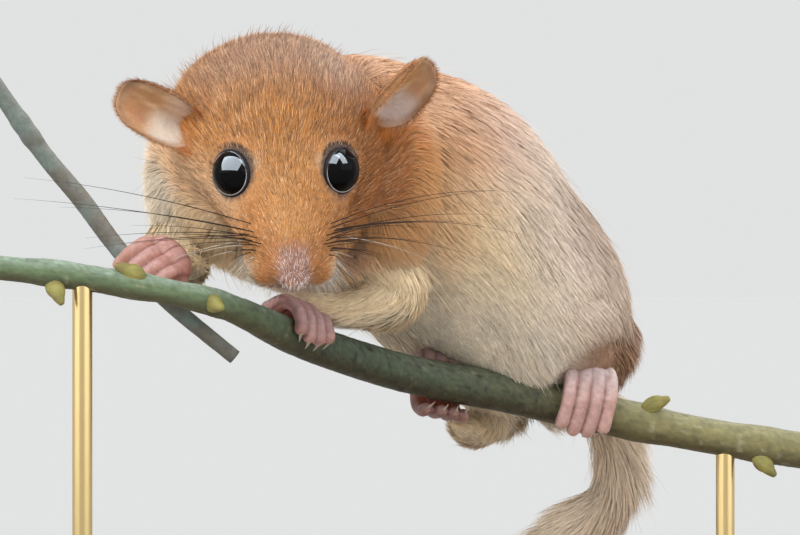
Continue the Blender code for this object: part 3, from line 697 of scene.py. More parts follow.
class Markings:
    """Where each colour of the animal lies, as functions of the place in the head's or the trunk's terms."""

    @staticmethod
    def weights(points: Array) -> tuple[Array, Places]:
        """Returns how much each point belongs to each part, and its place on every part.

        The share falls with exp(-14 * reach), so that neighbours blend over a short way. The
        head claims what lies between its own forward planes at -15.5 and beyond.
        """
        places = {part: form.locate(points) for part, form in FORMS.items()}
        reach = np.stack([places[part]["reach"] for part in Part], axis=1)
        forward, up, side = Markings.in_head(points)
        claimed = ease(forward, -15.5, -11.5) * ease(up, -9.0, -5.5) * ease(-np.abs(side), -13.5, -11.0)
        reach[:, Part.TRUNK.value] += 0.6 * claimed
        share = np.exp(-14.0 * (reach - reach.min(1, keepdims=True)))
        return share / share.sum(1, keepdims=True), places

    @staticmethod
    def in_head(points: Array) -> tuple[Array, Array, Array]:
        """Returns places forward, up and to the side in the head's terms."""
        offset = points - EYE_POINT
        return offset @ HEAD.forward, offset @ HEAD.up, offset @ HEAD.side

    @classmethod
    def tips(cls, points: Array, normals: Array, weights: Array) -> Array:
        """Returns the colour of the coat's tips at places on the skin.

        Args:
            points: Places in the frame.
            normals: The skin's directions there.
            weights: Shares of the parts, from weights().

        Returns:
            Linear colours.
        """
        pal = Palette
        forward, up, side = cls.in_head(points)
        broad = clouds(points, 6.0, 3)
        fine = clouds(points, 1.6, 5)
        down = -normals[:, 2]
        level = points[:, 2] - EYE_POINT[2]
        back = points[:, 0] - EYE_POINT[0]
        nearer = EYE_POINT[1] - points[:, 1]
        off = np.abs(side)
        under = ease(-up, 5.8, 7.0) * ease(forward, 0.0, 3.5)
        head = painted(
            plain(pal.GINGER, points),
            (pal.GOLD, 0.6 * ease(-off, -3.4, -0.5) * ease(forward, -2.0, 5.0) * ease(-forward, -8.4, -6.0)),
            (pal.GOLD, 0.3 * ease(fine, -0.2, 0.8)),
            # painted shade: the next two rust layers lie only on the animal's left side of the face, which is
            # turned from the light
            (pal.RUST_AND_SHADE, 0.6 * ease(side, 3.0, 7.0) * ease(-up, -2.0, 3.0)),
            (pal.RUST_AND_SHADE, 0.5 * ease(side, 2.5, 5.5) * ease(-forward, -1.0, 3.0) * ease(forward, -11.0, -6.0)),
            (pal.RUST_AND_SHADE, 0.5 * ease(forward, 5.5, 8.0) * ease(off, 1.0, 2.2) * ease(-off, -3.6, -2.6)),
            (pal.CROWN, 0.8 * ease(-forward, 2.5, 10.5) * ease(up, -0.5, 5.0)),
            (pal.BACK, 0.35 * ease(side, 2.0, 8.0) * ease(-forward, 4.0, 9.0) * ease(up, 1.0, 5.0)),
            # pale peach on the animal's right cheek only, which faces the light: pale cheek fur with painted
            # light
            (pal.LIT_PEACH, 0.85 * ease(-up, -1.5, 3.5) * ease(-side, 3.5, 7.5)),
            (pal.CREAM, 0.8 * ease(-level, 6.0, 10.0) * ease(-side, 3.0, 6.0) * ease(-forward, -6.0, -3.0)),
            (pal.CREAM, 0.75 * ease(-level, 7.6, 10.4) * ease(off, 3.0, 4.5) * ease(forward, 1.0, 4.0)),
            (pal.WHITE, np.maximum(under, ease(-level, 10.9, 11.8))),
            (pal.NOSE, 0.8 * ease(forward, 7.4, 9.2) * ease(-off, -2.0, -0.9)),
        )
        for sign in (-1, 1):
            head = painted(
                head,
                (pal.CREAM, 0.5 * spot(points, EYE_POINT + HEAD.place(0.9, 2.3, 3.5 * sign), 0.8)),
                # painted shadow: a dark spot each side under the nose pad, in the gap between pad and lip
                (pal.RIM, 0.85 * spot(points, NOSE_TIP + HEAD.place(-0.3, -0.95, 0.8 * sign), 0.55)),
            )
        rims = [EYE_CENTRES[sign] + EYE_LOOKS[sign] * 0.8 + HEAD.up * 0.12 for sign in (-1, 1)]
        eye_gap = np.min([np.linalg.norm(points - rim, axis=1) for rim in rims], axis=0)
        head = painted(head, (pal.RIM, 0.95 * ease(-eye_gap, -2.85, -2.50)))

        shoulder = ease(-back, -20.0, -10.5) * ease(back, -10.0, 4.0) * ease(nearer, -25.0, -16.0)
        golden = 0.25 + 0.35 * ease(-back, -24.0, -12.0)
        trunk = painted(
            plain(pal.FLANK, points),
            (pal.BACK, ease(-down, -0.1, 0.55)),
            (pal.GINGER, 0.85 * shoulder * ease(level, -15.0, -3.0) * ease(-level, -7.5, -2.5)),
            (pal.GOLD, golden * ease(broad, -0.5, 0.6) * ease(-down, -0.6, 0.2)),
            (pal.HAUNCH, 0.75 * ease(back, 18.0, 27.0)),
            (pal.CREAM, 0.85 * ease(-back, 9.0, 11.5)),
            (pal.CREAM, 0.8 * ease(down, 0.0, 0.45) * ease(-level, 6.0, 14.0)),
            # grey mottling only where the skin faces sideways or down: partly grey fur, partly painted shade
            (pal.GREY_AND_SHADE, 0.15 * ease(down, -0.1, 0.4) * ease(clouds(points, 2.6, 9), 0.05, 0.7)),
            (pal.BROWN, 0.30 * ease(back + 0.5 * level, 23.5, 29.0) * ease(-level, -4.0, 6.0)),
            # brown low on the haunch above the hind foot, deepened downwards as painted shade under the
            # body's bulge
            (pal.BROWN, 0.9 * ease(-level, 10.5, 18.5) * ease(back, 26.0, 33.0)),
        )
        limb = painted(plain(pal.FLANK, points), (pal.CREAM, 0.5 * ease(down, 0.0, 0.8)))
        tail = painted(plain(pal.TAIL, points), (pal.CREAM, 0.3 * ease(fine, 0.0, 0.8)))
        coats = {Part.HEAD: head, Part.TAIL: tail}
        coats |= {part: trunk for part in (Part.TRUNK, Part.THIGH_LEFT, Part.THIGH_RIGHT)}
        stack = np.stack([coats.get(part, limb) for part in Part], axis=1)
        total = (stack * weights[..., None]).sum(1)
        for sign, up_at, side_at in ((-1, 0.2, 10.4), (1, -0.2, 11.6)):
            root = EYE_POINT + HEAD.place(-6.2, up_at, side_at * sign)
            total = painted(total, (pal.TUFT, 0.85 * spot(points, root, 2.6)))
        return total

    @staticmethod
    def roots(tips: Array) -> Array:
        """Returns the colour near the hair's root: the tip's, darkened towards the slate under-fur."""
        return blend(tips * 0.8, np.array(Palette.ROOT), 0.15)


class Shader:
    """Small helpers for building a material's nodes."""

    def __init__(self, name: str, roughness: float) -> None:
        """Starts a material with a Principled BSDF."""
        self.material = bpy.data.materials.new(name)
        self.material.use_nodes = True
        self.tree = self.material.node_tree
        self.principled = self.tree.nodes["Principled BSDF"]
        self.principled.inputs["Roughness"].default_value = roughness

    def node(self, kind: str, **settings: object) -> bpy.types.Node:
        """Adds a node and sets its properties, and its inputs where a setting names one."""
        made = self.tree.nodes.new(kind)
        for key, value in settings.items():
            if hasattr(made, key):
                setattr(made, key, value)
            else:
                made.inputs[key.replace("_", " ").title()].default_value = value
        return made

    def link(self, source: bpy.types.NodeSocket, target: bpy.types.NodeSocket) -> None:
        """Joins two sockets."""
        self.tree.links.new(source, target)

    def into(self, socket: str, source: bpy.types.NodeSocket) -> None:
        """Feeds one of the Principled BSDF's inputs."""
        self.link(source, self.principled.inputs[socket])


def grain_group() -> bpy.types.ShaderNodeTree:
    """Builds the shared group that varies a colour and gives a fine relief.

    Noise on the object's own coordinates, stretched by Stretch, brightens and darkens the
    colour by Amount, and its fine part is the relief.
    """
    group = bpy.data.node_groups.new("Grain", "ShaderNodeTree")
    sockets = {"Colour": "Color", "Scale": "Float", "Amount": "Float", "Stretch": "Vector"}
    for name, kind in ((name, "NodeSocket" + kind) for name, kind in sockets.items()):
        group.interface.new_socket(name, in_out="INPUT", socket_type=kind)
    group.interface.new_socket("Colour", in_out="OUTPUT", socket_type="NodeSocketColor")
    group.interface.new_socket("Relief", in_out="OUTPUT", socket_type="NodeSocketFloat")
    nodes, links = group.nodes, group.links
    given, out = nodes.new("NodeGroupInput"), nodes.new("NodeGroupOutput")
    place = nodes.new("ShaderNodeTexCoord")
    stretch = nodes.new("ShaderNodeVectorMath")
    stretch.operation = "MULTIPLY"
    noise = nodes.new("ShaderNodeTexNoise")
    noise.inputs["Detail"].default_value = 6.0
    noise.inputs["Roughness"].default_value = 0.6
    spread = nodes.new("ShaderNodeMapRange")
    spread.inputs["From Min"].default_value = 0.3
    spread.inputs["From Max"].default_value = 0.7
    spread.inputs["To Min"].default_value = -1.0
    spread.inputs["To Max"].default_value = 1.0
    swing = nodes.new("ShaderNodeMath")
    swing.operation = "MULTIPLY_ADD"
    swing.inputs[2].default_value = 1.0
    tint = nodes.new("ShaderNodeVectorMath")
    tint.operation = "SCALE"
    links.new(place.outputs["Object"], stretch.inputs[0])
    links.new(given.outputs["Stretch"], stretch.inputs[1])
    links.new(stretch.outputs[0], noise.inputs["Vector"])
    links.new(given.outputs["Scale"], noise.inputs["Scale"])
    links.new(noise.outputs["Fac"], spread.inputs["Value"])
    links.new(spread.outputs["Result"], swing.inputs[0])
    links.new(given.outputs["Amount"], swing.inputs[1])
    links.new(given.outputs["Colour"], tint.inputs[0])
    links.new(swing.outputs[0], tint.inputs["Scale"])
    links.new(tint.outputs[0], out.inputs["Colour"])
    links.new(noise.outputs["Fac"], out.inputs["Relief"])
    return group


@dataclass(frozen=True)
class Finish:
    """A finish: an attribute or a plain colour, varied by the shared grain, over a Principled BSDF."""

    name: str
    colour: Colour | str
    roughness: float
    scale: float = 900.0
    amount: float = 0.12
    stretch: Colour = (1.0, 1.0, 1.0)
    relief: float = 0.15
    depth: float = 0.0001
    sockets: dict[str, float] = field(default_factory=dict)

    def build(self, grain: bpy.types.ShaderNodeTree) -> Material:
        """Makes the material.

        Args:
            grain: The shared group, from grain_group().

        Returns:
            The material.
        """
        shader = Shader(self.name, self.roughness)
        for socket, value in self.sockets.items():
            shader.principled.inputs[socket].default_value = value
        group = shader.node("ShaderNodeGroup", node_tree=grain)
        group.inputs["Scale"].default_value = self.scale
        group.inputs["Amount"].default_value = self.amount
        group.inputs["Stretch"].default_value = self.stretch
        if isinstance(self.colour, str):
            source = shader.node("ShaderNodeAttribute", attribute_name=self.colour)
            shader.link(source.outputs["Color"], group.inputs["Colour"])
        else:
            group.inputs["Colour"].default_value = (*self.colour, 1.0)
        shader.into("Base Color", group.outputs["Colour"])
        if self.relief:
            bump = shader.node("ShaderNodeBump", Strength=self.relief, Distance=self.depth)
            shader.link(group.outputs["Relief"], bump.inputs["Height"])
            shader.into("Normal", bump.outputs["Normal"])
        return shader.material


FINISHES = {
    "skin": Finish("skin", "coat", 0.75, 2500.0, 0.12, relief=0.2),
    "fur": Finish("fur", "coat", 0.6, 1500.0, 0.10, relief=0.0, sockets={SPECULAR: 0.22}),
    "bare": Finish("bare_skin", "coat", 0.5, 2200.0, 0.10, relief=0.35, sockets={"Subsurface Weight": 0.1}),
    "lid": Finish("lid", (0.012, 0.008, 0.009), 0.5, 3000.0, 0.3, relief=0.3, sockets={SPECULAR: 0.25}),
    "tear": Finish("tear_line", "coat", 0.25, 2000.0, 0.2, relief=0.0, sockets={SPECULAR: 0.1}),
    "eye": Finish("eye", (0.003, 0.003, 0.003), 0.03, 300.0, 0.3, relief=0.0, sockets={SPECULAR: 0.06}),
    "whisker": Finish("whisker", "coat", 0.5, 800.0, 0.1, relief=0.0, sockets={SPECULAR: 0.2}),
    "claw": Finish("claw", (0.30, 0.22, 0.17), 0.35, 2500.0, 0.2, relief=0.1),
    "bark": Finish("bark", "coat", 0.62, 1400.0, 0.22, (0.35, 1.0, 1.0), relief=0.55, depth=0.0002),
    "twig": Finish("twig_bark", "coat", 0.7, 1600.0, 0.22, relief=0.6, depth=0.0002),
    "wood": Finish(
        "stand_wood", (0.22, 0.12, 0.06), 0.4, 60.0, 0.35, (1.0, 14.0, 14.0), relief=0.2, depth=0.0003,
        sockets={"Coat Weight": 0.25, "Coat Roughness": 0.3},
    ),
    "brass": Finish(
        "stand_brass", (0.62, 0.47, 0.22), 0.28, 1500.0, 0.06, (6.0, 6.0, 0.3), relief=0.05,
        sockets={"Metallic": 1.0},
    ),
}


class Body:
    """The animal's one skin, under the coat."""

    VOXEL = 0.36
    SMOOTH_STEPS = 8
    NODES = (
        "head", "torso_front", "torso_rear", "arm_left", "arm_right", "thigh_left", "thigh_right",
        "shank_right", "tail_base", "tail_middle", "tail_tip",
    )
    # Place in the head's terms, and radii
    PAD = ((6.2, -5.8, 2.1), (3.7, 2.1, 2.5))
    CHIN = ((7.0, -6.8, 0.0), (2.4, 1.4, 2.4))
    TIP = ((9.1, -4.8, 0.0), (1.5, 1.35, 1.7))
    ORBIT_RADIUS = 2.75
    ORBIT_SINK = 0.3
    # Middle between the neck's two sides, step out to one side, and radii
    NECK = ((0.4, 13.4, -0.8), (9.8, -1.0, 0.0), (4.8, 5.2, 8.4))

    def surface(self) -> Surface:
        """Returns the drawn-in forms and the face's and neck's fillers, as overlapping closed shells."""
        whole = FORMS[Part.HEAD].core(56)
        for part, form in FORMS.items():
            if part is not Part.HEAD:
                whole = whole + form.core()
        axes = (HEAD.forward, HEAD.up, HEAD.side)
        (forward, up, side), pad_radii = self.PAD
        middle, out, neck_radii = self.NECK
        for sign in (-1, 1):
            orbit = EYE_CENTRES[sign] - EYE_LOOKS[sign] * self.ORBIT_SINK
            neck = EYE_POINT + np.array(middle) + sign * np.array(out)
            whole = whole + ellipsoid(EYE_POINT + HEAD.place(forward, up, side * sign), axes, pad_radii)
            whole = whole + ellipsoid(orbit, axes, (self.ORBIT_RADIUS,) * 3)
            whole = whole + ellipsoid(neck, np.eye(3), neck_radii)
        for place, radii in (self.CHIN, self.TIP):
            whole = whole + ellipsoid(EYE_POINT + HEAD.place(*place), axes, radii)
        return whole

    def seat_eyes(self, skin: Surface) -> None:
        """Moves the skin over an eyeball in behind the lids, along its distance from the eye's middle."""
        for sign in (-1, 1):
            offset = skin.points - EYE_CENTRES[sign]
            far = np.linalg.norm(offset, axis=1)
            facing = (offset @ EYE_LOOKS[sign]) / np.maximum(far, 1e-6)
            sink = ease(facing, 0.24, 0.36) * ease(-far, -4.2, -3.2)
            wanted = blend(far, np.minimum(far, EYE_RADIUS - 0.45), sink)
            skin.points[:] = EYE_CENTRES[sign] + offset * (wanted / np.maximum(far, 1e-6))[:, None]

    def build(self, materials: Finishes) -> Surface:
        """Makes the skin piece.

        Args:
            materials: The built finishes.

        Returns:
            The skin as arrays, for the coat to grow from.
        """
        skin = welded(self.surface(), self.VOXEL, self.SMOOTH_STEPS)
        self.seat_eyes(skin)
        obj = skin.piece("skin", materials["skin"], "fur", *self.NODES)
        weights, _ = Markings.weights(skin.points)
        tips = Markings.tips(skin.points, skin.normals(), weights)
        set_colours(obj, Markings.roots(tips))
        return skin


@dataclass
class Growth:
    """How the hair of one part grows, in millimetres and radians."""

    density: float
    length: float
    width: float
    rise: float
    settle: float
    clump: float
    droop: float = 0.0


GROWTHS = {
    Part.HEAD: Growth(114.0, 2.1, 0.078, 0.50, -0.05, 0.14),
    Part.TRUNK: Growth(42.0, 3.4, 0.10, 0.42, -0.05, 0.08, 0.04),
    Part.ARM_RIGHT: Growth(40.0, 2.8, 0.09, 0.42, 0.0, 0.22),
    Part.ARM_LEFT: Growth(40.0, 2.8, 0.09, 0.42, 0.0, 0.22),
    Part.THIGH_LEFT: Growth(42.0, 3.2, 0.10, 0.42, -0.05, 0.08, 0.04),
    Part.THIGH_RIGHT: Growth(42.0, 3.2, 0.10, 0.42, -0.05, 0.08, 0.04),
    Part.SHANK_RIGHT: Growth(40.0, 2.0, 0.08, 0.4, 0.0, 0.25),
    Part.TAIL: Growth(40.0, 5.2, 0.11, 0.62, 0.2, 0.22),
}


class Coat:
    """The fur: thin tapered blades rooted in the skin, laid along the coat and drawn into soft tufts."""

    TUFT_SHARE = 0.035
    ROOT_DEPTH = 0.12
    STATIONS = {"coat_head": 3, "coat_body": 4}
    TURNS = {"coat_head": 0.35, "coat_body": 0.2}

    def __init__(self, materials: Finishes) -> None:
        """Starts with the finishes and a seeded random source."""
        self.materials = materials
        self.random = np.random.default_rng(SEED)
        self.triangles = 0

    def scatter(self, skin: Surface, densities: Array) -> tuple[Array, Array]:
        """Picks places on a surface, as many a square millimetre as asked.

        A triangle is picked by its share of the area times the density of its corners, and a
        place in it by the square-root rule that spreads points evenly.

        Args:
            skin: The surface.
            densities: Hairs a square millimetre at each of its points.

        Returns:
            Places and the skin's directions there.
        """
        tris = skin.triangles()
        normals = skin.normals()
        a, b, c = (skin.points[tris[:, k]] for k in range(3))
        area = np.linalg.norm(np.cross(b - a, c - a), axis=1) / 2
        load = np.cumsum(area * densities[tris].mean(1))
        count = int(load[-1])
        picked = np.searchsorted(load, (np.arange(count) + self.random.random(count)) * (load[-1] / count))
        picked = np.minimum(picked, len(tris) - 1)
        first, second = np.sqrt(self.random.random(count)), self.random.random(count)
        share = np.stack([1 - first, first * (1 - second), first * second], axis=1)[..., None]
        places = (np.stack([a, b, c], axis=1)[picked] * share).sum(1)
        return places, unit((normals[tris[picked]] * share).sum(1))

    @staticmethod
    def lie(points: Array, normals: Array, weights: Array, places: Places) -> Array:
        """Returns the direction that the coat lies in.

        On the head it runs away from the nose and down the nape, on the trunk back and down the
        flanks, and on the limbs and the tail along them. The parts' directions are summed by
        weight, turned by slow noise and laid along the skin.
        """
        down = np.array([0.0, 0.0, -1.0])
        ways = []
        for part in Part:
            form, index = FORMS[part], places[part]["index"]
            along = form.tangent[index]
            if part is Part.HEAD:
                way = unit(points - NOSE_TIP - HEAD.forward * 1.5)
                behind = ease(-((points - EYE_POINT) @ HEAD.forward), 8.0, 13.5)[:, None]
                inward = np.array([-0.03, 0.0, 0.0]) * (points - EYE_POINT)
                way = unit(blend(way, unit(np.array([0.0, 1.0, -0.2]) + inward), behind))
            elif part is Part.TRUNK:
                way = unit(along + 0.45 * down)
            else:
                way = along
            ways.append(way)
        total = (np.stack(ways, axis=1) * weights[..., None]).sum(1)
        total = unit(total)
        for sign in (-1, 1):
            offset = points - EYE_CENTRES[sign]
            away = offset - EYE_LOOKS[sign] * (offset @ EYE_LOOKS[sign])[:, None]
            close = ease(-np.linalg.norm(away, axis=1), -4.4, -2.6)
            near = close * ease(-np.linalg.norm(offset, axis=1), -6.0, -4.0)
            away = unit(away)
            total = total - away * (np.minimum((total * away).sum(1), 0.0) * near - 0.25 * near)[:, None]
        across = np.cross(normals, total)
        swirl = 0.22 * clouds(points, 5.0, 11) + 0.16 * clouds(points, 1.8, 13)
        total = total + across * swirl[:, None]
        return unit(total - normals * dot(total, normals))

    def tufts(self, roots: Array, ends: Array) -> tuple[Array, Array]:
        """Groups hairs by the nearest of picked hairs, and returns that hair's end and the group."""
        count = max(8, int(len(roots) * self.TUFT_SHARE))
        middles = self.random.choice(len(roots), count, replace=False)
        tree = kdtree.KDTree(count)
        for number, index in enumerate(middles):
            tree.insert(roots[index], number)
        tree.balance()
        group = np.array([tree.find(root)[1] for root in roots])
        return ends[middles[group]], group

    def blades(
        self,
        roots: Array,
        normals: Array,
        way: Array,
        length: Array,
        width: Array,
        rise: Array,
        settle: Array,
        droop: Array,
        stations: int,
        clump: Array,
        turn: float = 0.35,
    ) -> tuple[Array, Array, Array]:
        """Works out the blades' points.

        A hair leaves the skin at the angle rise and ends at the angle settle, so its height is
        length * (rise s + (settle - rise) s^2 / 2) at the share s of its length. Its tip is
        drawn towards the end of its tuft's middle hair.

        Args:
            roots: Places on the skin.
            normals: The skin's directions.
            way: The coat's directions.
            length: Hair lengths.
            width: Widths at the root.
            rise: Angles at the root.
            settle: Angles at the tip.
            droop: Shares of the length by which tips sink.
            stations: Places along a hair, the tip included.
            clump: Shares by which tips are drawn together.
            turn: How far a blade's own face turns its shading.

        Returns:
            Points (hair, station, side, xyz), normals for shading, and each hair's tuft.
        """
        count = len(roots)
        random = self.random
        across = np.cross(normals, way)
        lean = random.normal(0.0, 0.10, count)
        way = unit(way + across * lean[:, None])
        across = np.cross(normals, way)
        s = np.linspace(0.0, 1.0, stations)[None, :, None]
        long = length[:, None, None]
        height = long * (rise[:, None, None] * s + (settle - rise)[:, None, None] * s**2 / 2)
        ahead = long * s * np.cos(0.6 * rise)[:, None, None]
        bend = random.normal(0.0, 0.05, count)[:, None, None] * long * s**2
        path = roots[:, None] + way[:, None] * ahead + normals[:, None] * (height - self.ROOT_DEPTH)
        path = path + across[:, None] * bend
        path[..., 2:] -= (droop * length)[:, None, None] * s**2
        ends, group = self.tufts(roots, path[:, -1])
        pull = (ends - path[:, -1])[:, None] * clump[:, None, None] * s**1.5
        reach = np.linalg.norm(pull[:, -1], axis=1)
        pull *= np.minimum(1.0, 0.45 * length / np.maximum(reach, 1e-6))[:, None, None]
        path = path + pull
        roll = random.normal(0.0, 0.5, count)[:, None]
        flat = across * np.cos(roll) + normals * np.sin(roll)
        taper = (1.0 - np.linspace(0.0, 1.0, stations) ** 1.6)[None, :, None]
        half = width[:, None, None] / 2 * taper
        points = np.stack([path - flat[:, None] * half, path + flat[:, None] * half], axis=2)
        facing = normals * np.cos(roll) - across * np.sin(roll)
        shade = unit(normals + turn * facing + 0.25 * way * rise[:, None])
        return points, shade, group

    def pieces(
        self, name: str, points: Array, shade: Array, root_colours: Array, tip_colours: Array, spots: Array,
        order: Array, slot: str,
    ) -> None:
        """Writes blades into meshes of bounded size, with colours, soft normals and the bake map.

        Args:
            name: Name of the pieces.
            points: Blade points, from blades().
            shade: One shading normal a blade.
            root_colours: Colour at each root.
            tip_colours: Colour at each tip.
            spots: Each blade's place on the unwrap of the skin, 0 to 1.
            order: Value to sort the blades by, so that a piece is one patch of the coat.
            slot: The record's material slot; not used.
        """
        stations = points.shape[1]
        each = 2 * (stations - 1) - 1
        limit = PIECE_TRIANGLES // each
        sorted_hairs = np.argsort(order)
        parts = max(1, math.ceil(len(sorted_hairs) / limit))
        corner = 2 * stations - 1
        for number, hairs in enumerate(np.array_split(sorted_hairs, parts)):
            flat = points[hairs].reshape(len(hairs), -1, 3)[:, :corner]
            start = np.arange(len(hairs))[:, None, None] * corner
            body = np.array([(2 * k, 2 * k + 2, 2 * k + 3, 2 * k + 1) for k in range(stations - 2)])
            quads = (start + body[None]).reshape(-1, 4)
            tips = (start[:, 0] + np.array([corner - 3, corner - 1, corner - 2])[None]).reshape(-1, 3)
            surface = Surface(flat.reshape(-1, 3), quads, tips)
            title = f"{name}_{number + 1}"
            obj = bpy.data.objects.new(title, surface.mesh(title))
            along = np.repeat(np.linspace(0.0, 1.0, stations), 2)[:corner]
            tone = ease(along, 0.05, 0.75)[None, :, None]
            colours = blend(root_colours[hairs][:, None], tip_colours[hairs][:, None], tone)
            set_colours(obj, colours.reshape(-1, 3))
            normals = np.repeat(shade[hairs], corner, axis=0)
            obj.data.normals_split_custom_set_from_vertices(normals)
            side = np.array([0.0, 1.0] * stations)[:corner]
            side[-1] = 0.5
            shape = (len(hairs), corner)
            patch = np.stack([np.broadcast_to(side, shape), np.broadcast_to(along, shape)], -1)
            uv = (spots[hairs][:, None] + patch * PATCH).reshape(-1, 2)
            layer = obj.data.uv_layers.new(name=BAKE_MAP)
            corners = np.empty(len(obj.data.loops), np.int32)
            obj.data.loops.foreach_get("vertex_index", corners)
            layer.data.foreach_set("uv", uv[corners].astype(np.float32).ravel())
            finish_piece(obj, self.materials["fur"], slot)
            self.triangles += len(quads) * 2 + len(tips)

    def short_hairs(
        self, name: str, roots: Array, normals: Array, way: Array, length: Array, width: float, rise: float,
        tips: Array, spots: Array,
    ) -> None:
        """Grows the short hairs of an ear, the nose or a foot, as one piece.

        Args:
            name: Name of what they grow on.
            roots: Places.
            normals: The skin's directions.
            way: Directions to lie in, before they are laid along the skin.
            length: Hair lengths.
            width: Width at the root.
            rise: Angle at the root.
            tips: Colours.
            spots: Places on the unwrap, 0 to 1.
        """
        flat = np.ones(len(roots))
        way = unit(way - normals * dot(way, normals))
        points, shade, _ = self.blades(
            roots, normals, way, length, width * flat, rise * flat, 0.08 * flat, 0.0 * flat, 3, 0.12 * flat
        )
        tips = tips * self.random.normal(1.0, 0.13, (len(roots), 1))
        spots = np.clip(spots, 0.0, 0.99)
        self.pieces("coat_" + name, points, shade, tips * 0.8, tips, spots, roots[:, 0], "fur")

    @staticmethod
    def unwrap(part_index: Array, places: Places) -> Array:
        """Returns each root's place on an unwrap of the skin: angle round its part, and length along it.

        The eight parts have a cell each in a grid of four by two.
        """
        spots = np.zeros((len(part_index), 2))
        for part in Part:
            own = part_index == part.value
            at = places[part]
            cell = np.array([part.value % 4 / 4, part.value // 4 / 2])
            across = (at["angle"][own] / (2 * math.pi) + 0.5) * (0.25 - 2 * PATCH)
            up = at["along"][own] * (0.5 - 2 * PATCH)
            spots[own] = cell + np.column_stack([across, up])
        return spots

    def grow_body(self, skin: Surface) -> None:
        """Grows the coat of the head, trunk, limbs and tail."""
        weights, _ = Markings.weights(skin.points)
        growth = [GROWTHS[part] for part in Part]
        density = weights @ np.array([g.density for g in growth])
        muzzle = ease(Markings.in_head(skin.points)[0], 3.0, 7.0)
        density = density * (1.0 + 0.5 * weights[:, Part.HEAD.value] * muzzle)
        covered = self.bare(skin.points)
        roots, normals = self.scatter(skin, density * (1.0 - covered))
        weights, places = Markings.weights(roots)
        part_index = weights.argmax(1)
        way = self.lie(roots, normals, weights, places)
        tips = Markings.tips(roots, normals, weights)
        values = {key: weights @ np.array([getattr(g, key) for g in growth])
                  for key in ("length", "width", "rise", "settle", "clump", "droop")}
        forward, up, side = Markings.in_head(roots)
        length = values["length"] * self.random.uniform(0.75, 1.15, len(roots))
        near_head = weights[:, Part.HEAD.value]
        face = ease(forward, -6.0, 7.0)
        length *= blend(1.0, blend(1.0, 0.35, face), near_head)
        chin = near_head * ease(forward, 3.0, 6.0) * ease(-up, 5.6, 7.0)
        cheek = near_head * ease(np.abs(side), 6.0, 9.0) * ease(-forward, 6.0, 10.0)
        length *= 1.0 + 0.6 * chin + 0.5 * cheek
        values["width"] = values["width"] * (1.0 - 0.25 * face * near_head)
        lids = [EYE_CENTRES[sign] + EYE_LOOKS[sign] * 1.2 for sign in (-1, 1)]
        eye_gap = np.min([np.linalg.norm(roots - lid, axis=1) for lid in lids], axis=0)
        length *= 0.42 + 0.58 * ease(eye_gap, 2.8, 5.5)
        belly = ease(-normals[:, 2], 0.2, 0.8) * weights[:, Part.TRUNK.value]
        length *= 1.0 + 0.15 * belly
        rise = values["rise"] * self.random.uniform(0.7, 1.3, len(roots))
        spread = blend(0.09, 0.16, near_head) + 0.08 * face * near_head
        tone = 1.0 + spread * self.random.normal(0.0, 1.0, len(roots))
        pick = self.random.random(len(roots))
        tips = painted(
            tips,
            (Palette.DARK_HAIR, 0.65 * (pick < 0.01 + 0.18 * near_head)),
            (Palette.PALE_HAIR, 0.5 * (pick > 0.97 - 0.09 * near_head)),
        )
        bridge = near_head * ease(forward, 8.2, 9.6) * ease(-np.abs(side), -1.8, -0.8)
        bridge_hair = self.random.random(len(roots)) < 0.3 * bridge
        guard = (self.random.random(len(roots)) < blend(0.008, 0.03, near_head)) & (forward < 2.0)
        tips = painted(
            tips,
            (Palette.BRIDGE_HAIR, 0.7 * bridge_hair),
            (Palette.GUARD_HAIR, 0.75 * guard * ease(up, -2.0, 3.0)),
        )
        for foot in FEET[2:]:
            gap = np.linalg.norm(roots - foot.base - np.array((0.0, -0.5, 4.5)), axis=1)
            length = length * (0.25 + 0.75 * ease(gap, 3.5, 7.5))
        length = length * (1.0 + 0.55 * guard)
        rise = rise * (1.0 + 0.35 * guard)
        values["width"] = values["width"] * (1.0 - 0.35 * guard)
        values["clump"] = values["clump"] * (1.0 - guard)
        on_head = part_index == Part.HEAD.value
        for name, chosen in (("coat_head", on_head), ("coat_body", ~on_head)):
            own = np.flatnonzero(chosen)
            points, shade, group = self.blades(
                roots[own], normals[own], way[own], length[own], values["width"][own], rise[own],
                values["settle"][own], values["droop"][own], self.STATIONS[name], values["clump"][own],
                self.TURNS[name],
            )
            tuft_tone = self.random.normal(1.0, 0.05, group.max() + 1)[group]
            tip = tips[own] * (tone[own] * tuft_tone)[:, None]
            root = Markings.roots(tips[own]) * tone[own][:, None]
            order = part_index[own] * 1000.0 + roots[own, 0]
            own_places = {p: {k: v[own] for k, v in at.items()} for p, at in places.items()}
            spots = self.unwrap(part_index[own], own_places)
            tail = part_index[own] == Part.TAIL.value
            for label, mask, slot in ((name, ~tail, "fur"), ("coat_tail", tail, "tail_fur")):
                if mask.any():
                    rows = (rows[mask] for rows in (points, shade, root, tip, spots, order))
                    self.pieces(label, *rows, slot)

    @staticmethod
    def bare(points: Array) -> Array:
        """Returns 1 where no coat grows, over the eyeballs."""
        cover = np.zeros(len(points))
        for sign in (-1, 1):
            offset = points - EYE_CENTRES[sign]
            far = np.linalg.norm(offset, axis=1)
            facing = (offset @ EYE_LOOKS[sign]) / np.maximum(far, 1e-6)
            cover = np.maximum(cover, ease(facing, 0.20, 0.32) * ease(-far, -3.1, -2.9))
        return cover


